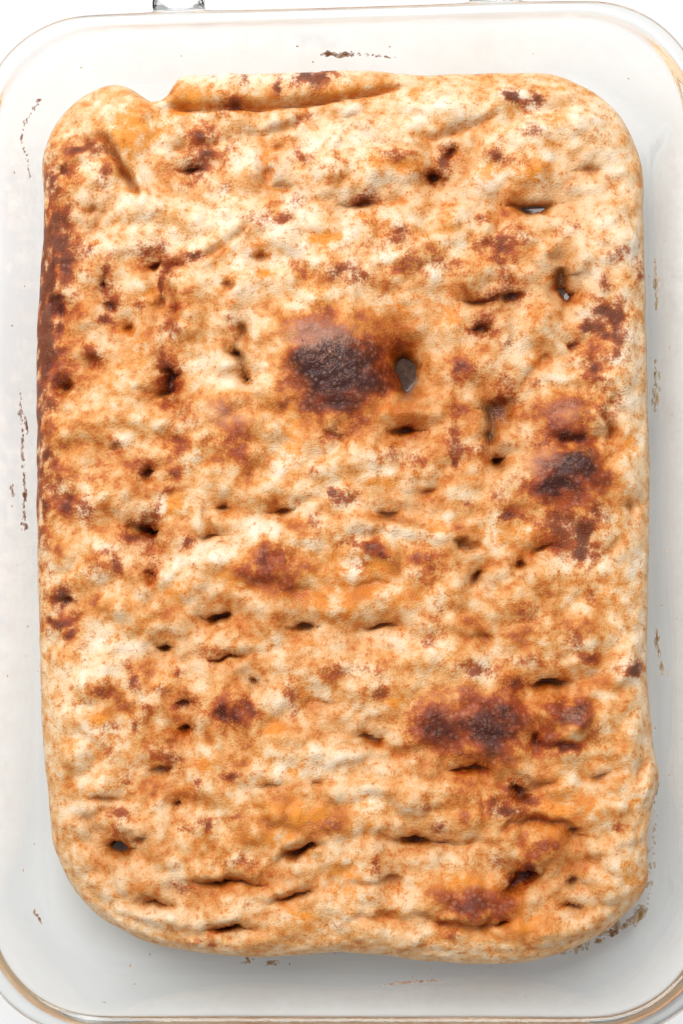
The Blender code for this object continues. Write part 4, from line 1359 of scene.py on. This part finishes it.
        # Browner in the dips between the puffs and paler on their crowns: painted shade and painted
        # light over the puffs
        masks[Mask.TOAST] += self.warmth + blotches + 0.26 * (0.3 - puffs)
        masks[Mask.CINNAMON] += 0.06 + 0.10 * drift
        masks[Mask.AMBER] += 0.10 + 0.30 * lumps(flat_x, flat_y, 11, 8, 71.0)
        lift = self.settle + self.swell_lift * swell + self.lobe_lift * (lobes - 0.27)
        lift += self.puff_lift * (puffs - 0.26) + self.fine_lift * fine
        skin = Skin(lift, np.zeros_like(x), masks)
        for blister in BLISTERS:
            distance = self._distance(blister, warped_x, warped_y)
            dome = np.exp(-(distance ** 2.6))
            skin.lift += blister.rise * dome * (1 + 0.12 * blister.toast * fine)
            masks[Mask.TOAST] += blister.toast * np.exp(-(distance * 1.05) ** 2)
            masks[Mask.WET] += 0.35 * blister.toast * dome
        for patch in PATCHES:
            distance = self._distance(patch, warped_x, warped_y)
            masks[patch.mask] += patch.strength * np.exp(-distance ** 2)
        masks[Mask.CINNAMON] *= 1 + 1.1 * spots + 0.6 * fine
        masks[Mask.AMBER] *= 1 + 0.8 * spots
        skin.lift += 0.8 * (fine + 0.6 * spots) * smooth_step(0.5, 0.85, masks[Mask.TOAST])
        self._press(warped_x, warped_y, skin)
        self._fold(warped_x, warped_y, skin)
        self._roll(x, y, skin)
        for mask, values in masks.items():
            masks[mask] = np.clip(values, -0.2, 1.2)
        return skin

    def _corner_radii(self, sign_x: np.ndarray, sign_y: np.ndarray) -> np.ndarray:
        """The outline's corner radius in each place's quarter."""
        radii = np.zeros_like(sign_x)
        for (side_x, side_y), radius in self.corners.items():
            radii[(sign_x == side_x) & (sign_y == side_y)] = radius
        return radii

    def outline(self, east: np.ndarray, north: np.ndarray, inset: np.ndarray) -> tuple:
        """Points on the bread's outline moved inwards, for directions on the square from -1 to 1.

        Args:
            east: The direction across.
            north: The direction along.
            inset: How far inside the outline each point lies.

        Returns:
            The points' places across and along, and the outward direction at each.
        """
        half_x, half_y = (self.right - self.left) / 2 - inset, (self.back - self.front) / 2 - inset
        sign_x, sign_y = np.where(east >= 0, 1.0, -1.0), np.where(north >= 0, 1.0, -1.0)
        corner = self._corner_radii(sign_x, sign_y) - self.corner_shrink * inset
        x, y = np.abs(east) * half_x, np.abs(north) * half_y
        gap_x, gap_y = half_x - x, half_y - y
        from_corner = np.maximum(gap_x, gap_y)
        turn = math.pi / 4 * from_corner / corner
        angle = math.pi / 4 + np.where(gap_y < gap_x, turn, -turn)
        straight = from_corner >= corner
        out_x = np.where(straight, np.where(gap_x < gap_y, 1.0, 0.0), np.cos(angle))
        out_y = np.where(straight, np.where(gap_x < gap_y, 0.0, 1.0), np.sin(angle))
        x = np.where(straight, x, half_x - corner + corner * out_x)
        y = np.where(straight, y, half_y - corner + corner * out_y)
        x = (self.left + self.right) / 2 + sign_x * x
        y = (self.front + self.back) / 2 + sign_y * y
        out_x, out_y = sign_x * out_x, sign_y * out_y
        push = np.zeros_like(x)
        for at_x, at_y, reach, out in self.bulges:
            distance = np.hypot(x - at_x * MM, y - at_y * MM) / (reach * MM)
            push += out * MM * np.exp(-distance * distance)
        return x + push * out_x, y + push * out_y, out_x, out_y

    def _shape(self, bread: bpy.types.Object) -> None:
        """Moves the subdivided and extruded grid's points onto the loaf, and stores its masks.

        Args:
            bread: The object, whose points hold their direction and their ring.
        """
        mesh = bread.data
        east, north = read_attribute(mesh, "east"), read_attribute(mesh, "north")
        ring = read_attribute(mesh, "ring")
        middle_x, middle_y = (self.left + self.right) / 2, (self.front + self.back) / 2
        spread = np.maximum(np.maximum(np.abs(east), np.abs(north)), 1e-6)
        roll = np.maximum(0.0, spread - self.shoulder_start) / (1 - self.shoulder_start) * math.pi / 2
        tuck = np.clip(ring / self.side_rings, 0.0, 1.0) * math.pi / 2
        inset = np.where(ring > 0, self.base_inset * (1 - np.cos(tuck)),
                         self.shoulder_inset * (1 - np.sin(roll)))
        x, y, out_x, out_y = self.outline(east / spread, north / spread, inset)
        inwards = np.minimum(1.0, spread / self.shoulder_start)
        inwards -= np.clip((ring - self.side_rings) / (self.base_rings + 1), 0.0, 1.0)
        x = middle_x + (x - middle_x) * inwards
        y = middle_y + (y - middle_y) * inwards

        top = np.where(ring > 0, 0.0, np.cos(roll))
        under = self.widest_level - (self.widest_level - self.base) * np.sin(tuck)
        drop = (self.shoulder_level - self.widest_level) * (1 - top) + self.widest_level - under
        skin = self.skin_at(x / MM, y / MM, (x + drop * out_x) / MM, (y + drop * out_y) / MM)
        dome = self.dome_rise * (1 - (x / self.right) ** 2) * (1 - (y / self.back) ** 2)
        rise = (self.shoulder_level - self.widest_level) * top + np.maximum(dome, 0.0) * (ring == 0)
        crown = self.widest_level + rise + skin.lift * MM * top ** 1.3
        z = np.where(ring > 0, under, crown)
        soft = self.highest - self.cap
        z = np.where(z > soft, soft + self.cap * np.tanh((z - soft) / self.cap), z)
        side = np.sin(roll) ** 4 * (ring == 0) + np.cos(tuck) ** 2 * (ring > 0)
        knobs = 0.45 * lumps(x / MM + z / MM, y / MM, 9, 9, 51.0) - 0.25
        x, y = x + side * knobs * MM * out_x, y + side * knobs * MM * out_y
        y = y + skin.slide * MM * top
        write_points(mesh, np.column_stack((x, y, z)))

        fried = np.clip(ring / self.side_rings, 0.0, 1.0)
        for mask, values in skin.masks.items():
            kept = 0.7 + 0.3 * top if mask is Mask.CINNAMON else top
            values = values * kept
            if mask is Mask.TOAST:
                values = values + (1 - top) * (0.26 + 0.26 * fried)
            if mask is Mask.WET:
                values = np.maximum(values, 0.5 * fried)
            write_attribute(mesh, mask.value, values)

    def build(self, material: bpy.types.Material) -> bpy.types.Object:
        """Models the bread and dresses it.

        Args:
            material: The crust.

        Returns:
            The finished bread.
        """
        across, along = self.cells
        bread = start_piece("focaccia_slab", bpy.ops.mesh.primitive_grid_add,
                            x_subdivisions=across, y_subdivisions=along, size=2.0)
        points = read_points(bread.data)
        write_attribute(bread.data, "east", points[:, 0])
        write_attribute(bread.data, "north", points[:, 1])
        write_attribute(bread.data, "ring", np.zeros(len(points)))
        bpy.ops.object.mode_set(mode="EDIT")
        select_in_mesh(bread, "edges", lambda edge: edge.is_boundary)
        for number in range(1, self.side_rings + self.base_rings + 1):
            bpy.ops.mesh.extrude_region_move()
            bpy.ops.transform.translate(value=(0.0, 0.0, -0.01))
            built = bmesh.from_edit_mesh(bread.data)
            ring = built.verts.layers.float["ring"]
            for vert in built.verts:
                if vert.select:
                    vert[ring] = number
            bmesh.update_edit_mesh(bread.data)
        bpy.ops.mesh.edge_face_add()
        bpy.ops.object.mode_set(mode="OBJECT")
        self._shape(bread)
        bpy.ops.object.mode_set(mode="EDIT")
        bpy.ops.mesh.select_all(action="SELECT")
        bpy.ops.mesh.normals_make_consistent(inside=False)
        bpy.ops.object.mode_set(mode="OBJECT")
        finish_piece(bread, material, "focaccia")
        self.surface = surface_tree(bread)
        return bread


# ---------------------------------------------------------------------------------------------
# What lies on the bread and on the glass
# ---------------------------------------------------------------------------------------------


def copies(name: str, seed: bpy.types.Object, frames: list[Matrix]) -> bpy.types.Object:
    """Joins many copies of one small shape into a single piece and removes the shape.

    Args:
        name: The piece's name.
        seed: The shape, modelled around the origin.
        frames: Where each copy goes, with its turn and its scale.

    Returns:
        The joined piece.
    """
    points = read_points(seed.data)
    faces = [tuple(face.vertices) for face in seed.data.polygons]
    placed = [points @ np.array(spot.to_3x3()).T + np.array(spot.translation) for spot in frames]
    joined = bpy.data.meshes.new(name)
    joined.from_pydata(np.concatenate(placed).tolist(), [], [
        tuple(corner + number * len(points) for corner in face)
        for number in range(len(frames)) for face in faces])
    piece = bpy.data.objects.new(name, joined)
    bpy.context.scene.collection.objects.link(piece)
    bpy.data.objects.remove(seed)
    return piece


def seated(place: Vector, normal: Vector, turn: float, size: tuple[float, float, float]) -> Matrix:
    """A frame that lies flat on a surface.

    Args:
        place: A point of the surface.
        normal: The surface's outward direction there.
        turn: The turn round that direction, in radians.
        size: The scale along, across and out of the surface.

    Returns:
        The frame.
    """
    facing = normal.to_track_quat("Z", "Y").to_matrix().to_4x4()
    turned = facing @ Matrix.Rotation(turn, 4, "Z")
    return Matrix.Translation(place) @ turned @ Matrix.Diagonal((*size, 1.0))


def pebble(name: str, fineness: int, taper: float) -> bpy.types.Object:
    """A small round lump of radius 1, squeezed at one end so that no two of its copies look alike.

    Args:
        name: Its name.
        fineness: The sphere's subdivisions.
        taper: How much narrower one end is.

    Returns:
        The lump, around the origin.
    """
    lump = start_piece(name, bpy.ops.mesh.primitive_ico_sphere_add, subdivisions=fineness, radius=1.0)
    bpy.ops.object.mode_set(mode="EDIT")
    select_in_mesh(lump, "faces", lambda face: face.calc_center_median().x > 0.2)
    bpy.ops.transform.resize(value=(1.25, 1 - taper, 1 - taper))
    bpy.ops.object.mode_set(mode="OBJECT")
    return lump


class Residue(Enum):
    """What dried on the glass."""

    BROWN = "brown_cinnamon_residue"
    OLIVE = "golden_oil_residue"


@dataclass(frozen=True)
class Smear:
    """A line of dried spots up the glass, through points in millimetres."""

    kind: Residue
    path: tuple[tuple[float, float, float], ...]
    width: float
    spots_per_mm: float = 0.9


SMEARS = (
    Smear(Residue.BROWN, ((-5, 160, 39.5), (5, 160, 38.6)), 1.6, 1.9),
    Smear(Residue.BROWN, ((5, 160, 38.6), (19, 160, 35.8)), 1.1, 0.7),
    Smear(Residue.BROWN, ((-4, 160, 38.2), (4, 160, 37.2)), 1.0, 1.2),
    Smear(Residue.BROWN, ((-100, 142, 42), (-108, 137, 41), (-112, 132, 39.7), (-111, 127, 33.9),
                          (-111, 121, 30.4)), 0.9),
    Smear(Residue.BROWN, ((-112, 44, 36.9), (-112, 31, 35.2), (-111, 17, 33.5), (-111, 7, 32.5),
                          (-111, -4, 34.7)), 1.0, 1.1),
    Smear(Residue.BROWN, ((-113, 10, 43.4), (-113, 8, 41.4)), 1.4, 2.0),
    Smear(Residue.BROWN, ((-112, 36, 33.0), (-112, 30, 31.0)), 1.2, 1.5),
    Smear(Residue.BROWN, ((-111, 1, 33.0), (-111, -4, 31.5)), 1.3, 1.8),
    Smear(Residue.BROWN, ((11, -159, 31.5), (21, -158, 29), (31, -158, 27.3)), 0.9, 1.0),
    Smear(Residue.BROWN, ((92, -145, 10.9), (91, -146, 10.3)), 1.6, 2.5),
    Smear(Residue.BROWN, ((-81, -162, 46.5), (-80, -162, 46)), 0.8, 1.0),
    Smear(Residue.BROWN, ((-74, -159, 31.8), (-73, -159, 31.3)), 0.8, 1.0),
    Smear(Residue.BROWN, ((-104, -134, 30), (-102, -137, 29)), 0.9, 1.0),
    Smear(Residue.OLIVE, ((109, 88, 24), (109, 80, 24.5), (109, 72, 25)), 1.5, 1.3),
    Smear(Residue.OLIVE, ((109, 52, 21.6), (109, 43, 22), (108, 36, 20.6)), 1.8, 1.5),
    Smear(Residue.OLIVE, ((107, -42, 17.5), (108, -49, 19.6), (109, -56, 22.3)), 1.6, 1.6),
    Smear(Residue.OLIVE, ((106, -85, 14.3), (107, -99, 15), (106, -113, 13.1), (104, -123, 11.4)),
          1.5, 0.35),
    Smear(Residue.OLIVE, ((74, -151, 10), (83, -149, 10.1), (90, -144, 9.1), (99, -140, 12),
                          (103, -137, 15.1)), 2.0, 0.8),
    Smear(Residue.OLIVE, ((103, -137, 15.1), (104, -128, 12), (104, -120, 11)), 1.3, 0.5),
    Smear(Residue.OLIVE, ((-37, -154, 14.3), (-34, -154, 14.0)), 1.5, 2.0),
    Smear(Residue.OLIVE, ((-28, -155, 14.9), (-25, -155, 15.5)), 1.6, 2.0),
    Smear(Residue.OLIVE, ((-106, -55, 12), (-107, -62, 13), (-106, -70, 11)), 1.1, 0.7),
)


@dataclass
class GlassResidue:
    """Dried spots of oil and cinnamon that follow the inside of the glass."""

    dish: BVHTree
    spot_height_mm: float = 0.16
    seed: int = 7

    def _spots(self, smear: Smear, chance: np.random.Generator) -> list[Matrix]:
        """Frames of one smear's spots, seated on the glass.

        Args:
            smear: The smear.
            chance: The random numbers.

        Returns:
            One frame for each spot.
        """
        frames = []
        for start, end in zip(smear.path, smear.path[1:]):
            start, end = Vector(start) * MM, Vector(end) * MM
            count = max(2, round((end - start).length / MM * smear.spots_per_mm * 1.5))
            for share in (np.arange(count) + chance.uniform(-0.4, 0.4, count)) / count:
                aside = Vector(chance.normal(0.0, 0.5 * smear.width * MM, 3))
                place, normal, _, _ = self.dish.find_nearest(start.lerp(end, float(share)) + aside)
                wide = smear.width * MM / 2 * chance.lognormal(-0.2, 0.5)
                long = wide * chance.uniform(0.9, 1.8)
                size = (long, wide, self.spot_height_mm * MM * chance.uniform(0.6, 1.4))
                frames.append(seated(place, normal, chance.uniform(0.0, math.tau), size))
        return frames

    def build(self, finishes: dict[Residue, bpy.types.Material]) -> None:
        """Models the spots of each kind as one piece and dresses them.

        Args:
            finishes: The finish of each kind.
        """
        chance = np.random.default_rng(self.seed)
        for kind, material in finishes.items():
            smears = [smear for smear in SMEARS if smear.kind is kind]
            frames = [spot for smear in smears for spot in self._spots(smear, chance)]
            piece = copies(kind.value, pebble("spot", 2, 0.3), frames)
            finish_piece(piece, material)


@dataclass(frozen=True)
class Pool:
    """Oil and melted sugar that stands in a dimple, in millimetres and degrees."""

    x: float
    y: float
    across: float
    along: float
    rise: float
    turn: float = 0.0


POOLS = (
    Pool(22, 49, 12, 24, 5.0, 8), Pool(66, 106, 16, 6, 1.6), Pool(77, 77, 5, 8, 2.0, 10),
    Pool(-77, -113, 7, 6, 2.2),
)


@dataclass
class OilPools:
    """The pools in the deepest dimples, each a lens that reaches into the crumb around it."""

    bread: BVHTree
    thickness: float = 0.0016
    edge: float = 0.0009
    sag: float = 0.00045
    sides: int = 20
    above: float = 0.06

    def _lens(self, pool: Pool) -> bpy.types.Object:
        """One pool's lens, at its place.

        Args:
            pool: The pool.

        Returns:
            The lens.
        """
        above = Vector((pool.x * MM, pool.y * MM, self.above))
        bottom = self.bread.ray_cast(above, Vector((0.0, 0.0, -1.0)))[0]
        middle = (bottom.x, bottom.y, bottom.z + pool.rise * MM)
        lens = start_piece("lens", bpy.ops.mesh.primitive_circle_add, vertices=self.sides,
                           radius=0.5 * MM, fill_type="NGON", location=middle)
        bpy.ops.object.transform_apply(location=True, rotation=False, scale=False)
        bpy.ops.object.mode_set(mode="EDIT")
        bpy.ops.mesh.select_all(action="SELECT")
        bpy.ops.transform.resize(value=(pool.across, pool.along, 1.0), center_override=bottom)
        bpy.ops.transform.rotate(value=-math.radians(pool.turn), orient_axis="Z",
                                 center_override=bottom)
        bpy.ops.mesh.extrude_region_move(TRANSFORM_OT_translate={"value": (0.0, 0.0, -self.thickness)})
        bpy.ops.mesh.select_all(action="SELECT")
        bpy.ops.mesh.normals_make_consistent(inside=False)
        select_in_mesh(lens, "faces", lambda face: face.normal.z > 0.9)
        bpy.ops.mesh.inset(thickness=self.edge)
        bpy.ops.transform.translate(value=(0.0, 0.0, -self.sag))
        bpy.ops.object.mode_set(mode="OBJECT")
        return lens

    def build(self, material: bpy.types.Material) -> bpy.types.Object:
        """Models all the pools as one piece and dresses it.

        Args:
            material: The oil.

        Returns:
            The finished piece.
        """
        lenses = [self._lens(pool) for pool in POOLS]
        bpy.ops.object.select_all(action="DESELECT")
        for lens in lenses:
            lens.select_set(True)
        bpy.context.view_layer.objects.active = lenses[0]
        bpy.ops.object.join()
        lenses[0].name = lenses[0].data.name = "oil_pools"
        finish_piece(lenses[0], material)
        return lenses[0]


@dataclass
class Sprinkle:
    """Loose grains on the crust where a mask is high, and crumbs on the glass beside the bread."""

    name: str
    count: int
    size_mm: tuple[float, float]
    seed: int
    flatness: float = 0.7
    sunk: float = 0.3
    scatter_mm: float = 0.18
    stray: float = 0.0004
    lowest: float = 0.034
    gap: tuple[float, float] = (-0.009, -0.001)
    above: float = 0.07
    rim_level: float = 0.045

    def _seat(self, place: Vector, normal: Vector, size: float, chance: np.random.Generator) -> Matrix:
        """One grain's frame, turned and stretched by chance.

        Args:
            place: The grain's middle.
            normal: The surface's outward direction there.
            size: The grain's radius.
            chance: The random numbers.

        Returns:
            The frame.
        """
        turn = chance.uniform(0.0, math.tau)
        stretched = (size * chance.uniform(0.8, 1.5), size, size * self.flatness)
        return seated(place, normal, turn, stretched)

    def on_crust(self, bread: bpy.types.Object, mask: Mask, threshold: float,
                 material: bpy.types.Material) -> bpy.types.Object:
        """Strews the grains over the crust.

        Args:
            bread: The bread, with its masks.
            mask: The mask that says where they lie.
            threshold: The mask's value below which almost none lie.
            material: Their finish.

        Returns:
            The finished grains.
        """
        chance = np.random.default_rng(self.seed)
        weight = np.clip(read_attribute(bread.data, mask.value) - threshold, 0.0, 0.7) + self.stray
        weight *= read_points(bread.data)[:, 2] > self.lowest
        chosen = chance.choice(len(weight), self.count, replace=False, p=weight / weight.sum())
        frames = []
        for index in sorted(chosen.tolist()):
            vert = bread.data.vertices[index]
            size = chance.uniform(*self.size_mm) / 2 * MM
            place = vert.co + vert.normal * size * (self.flatness - self.sunk)
            place += Vector(chance.uniform(-1.0, 1.0, 3)) * MM * self.scatter_mm
            frames.append(self._seat(place, vert.normal, size, chance))
        piece = copies(self.name, pebble("grain", 1, 0.4), frames)
        finish_piece(piece, material)
        return piece

    def beside(self, dish: BVHTree, loaf: Focaccia, material: bpy.types.Material) -> bpy.types.Object:
        """Strews the crumbs on the glass between the bread and the wall.

        Args:
            dish: The glass.
            loaf: The bread that they lie beside.
            material: Their finish.

        Returns:
            The finished crumbs.
        """
        chance = np.random.default_rng(self.seed)
        turns = chance.uniform(0.0, math.tau, self.count)
        east, north = np.cos(turns), np.sin(turns)
        spread = np.maximum(np.abs(east), np.abs(north))
        gap = chance.uniform(*self.gap, self.count)
        x, y, _, _ = loaf.outline(east / spread, north / spread, gap)
        frames = []
        for across, along in zip(x.tolist(), y.tolist()):
            above = Vector((across, along, self.above))
            hit, normal, _, _ = dish.ray_cast(above, Vector((0.0, 0.0, -1.0)))
            if hit is None or hit.z > self.rim_level:
                continue
            size = chance.uniform(*self.size_mm) / 2 * MM
            place = hit + normal * size * (self.flatness - self.sunk)
            frames.append(self._seat(place, normal, size, chance))
        piece = copies(self.name, pebble("crumb", 1, 0.4), frames)
        finish_piece(piece, material)
        return piece


# ---------------------------------------------------------------------------------------------
# The studio
# ---------------------------------------------------------------------------------------------


@dataclass
class Studio:
    """A white table, a soft window behind the dish and a camera looking down on it."""

    table_half: float = 1.6
    camera_place: tuple[float, float, float] = (0.0286, -0.0454, 0.600)
    camera_turn: tuple[float, float, float] = (0.08085, 0.05264, -0.00869)
    sensor_mm: float = 36.0
    lens_mm: float = 58.29
    window_power: float = 30.0
    window_size: tuple[float, float] = (1.3, 0.9)
    window_place: tuple[float, float, float] = (-0.30, 0.80, 1.25)
    window_colour: tuple[float, float, float] = (1.0, 0.995, 0.985)
    fill: float = 0.54
    fill_colour: tuple[float, float, float, float] = (0.985, 0.985, 1.0, 1.0)

    def _table(self) -> None:
        """The table top, with a slightly uneven coat of paint."""
        table = start_piece("table_top", bpy.ops.mesh.primitive_plane_add, size=2 * self.table_half)
        table.data.materials.append(TablePaint().make())

    def _camera(self) -> None:
        """The camera above the dish, leaning a little."""
        data = bpy.data.cameras.new("camera")
        data.sensor_fit = "VERTICAL"
        data.sensor_height = self.sensor_mm
        data.lens = self.lens_mm
        camera = bpy.data.objects.new("camera", data)
        camera.location = self.camera_place
        camera.rotation_euler = self.camera_turn
        bpy.context.scene.collection.objects.link(camera)
        bpy.context.scene.camera = camera

    def _lights(self) -> None:
        """A large soft window beyond the dish's back edge and an even fill from the room."""
        data = bpy.data.lights.new("window", "AREA")
        data.shape = "RECTANGLE"
        data.size, data.size_y = self.window_size
        data.energy = self.window_power
        data.color = self.window_colour
        window = bpy.data.objects.new("window", data)
        window.location = self.window_place
        window.rotation_euler = (-window.location).to_track_quat("-Z", "Y").to_euler()
        bpy.context.scene.collection.objects.link(window)
        world = bpy.data.worlds.new("room")
        world.use_nodes = True
        sky = world.node_tree.nodes["Background"]
        sky.inputs["Color"].default_value = self.fill_colour
        sky.inputs["Strength"].default_value = self.fill
        bpy.context.scene.world = world

    def build(self) -> None:
        """Sets the table, the camera and the lights."""
        self._table()
        self._camera()
        self._lights()
        bpy.context.scene.view_settings.view_transform = "Standard"


def main() -> None:
    """Builds the dish, the bread and the studio."""
    logging.basicConfig(level=logging.INFO, format="%(name)s %(message)s")
    Studio().build()
    dish = BakingDish()
    dish.build(PressedGlass().make())
    loaf = Focaccia()
    bread = loaf.build(BakedCrust().make())
    pooled = BoiledOil("pooled_oil_and_sugar", "#4e3526", "#2f1d14", roughness=0.12).make()
    OilPools(loaf.surface).build(pooled)
    GlassResidue(dish.surface).build({
        Residue.BROWN: BoiledOil("dried_brown_sugar_film", "#cfa482", "#8d5836", 0.5).make(),
        Residue.OLIVE: BoiledOil("dried_golden_oil_film", "#e0c78f", "#ba944f", 0.30).make()})
    spice = Granule("ground_cinnamon", "#7d3a1c", "#a55e30").make()
    Sprinkle("cinnamon_grains", 2600, (0.25, 0.6), 11).on_crust(bread, Mask.CINNAMON, 0.3, spice)
    crumb = Granule("toasted_crumb", "#b07a45", "#e3bd8a").make()
    Sprinkle("bread_crumbs", 90, (0.35, 1.1), 13).beside(dish.surface, loaf, crumb)


if __name__ == "__main__":
    main()
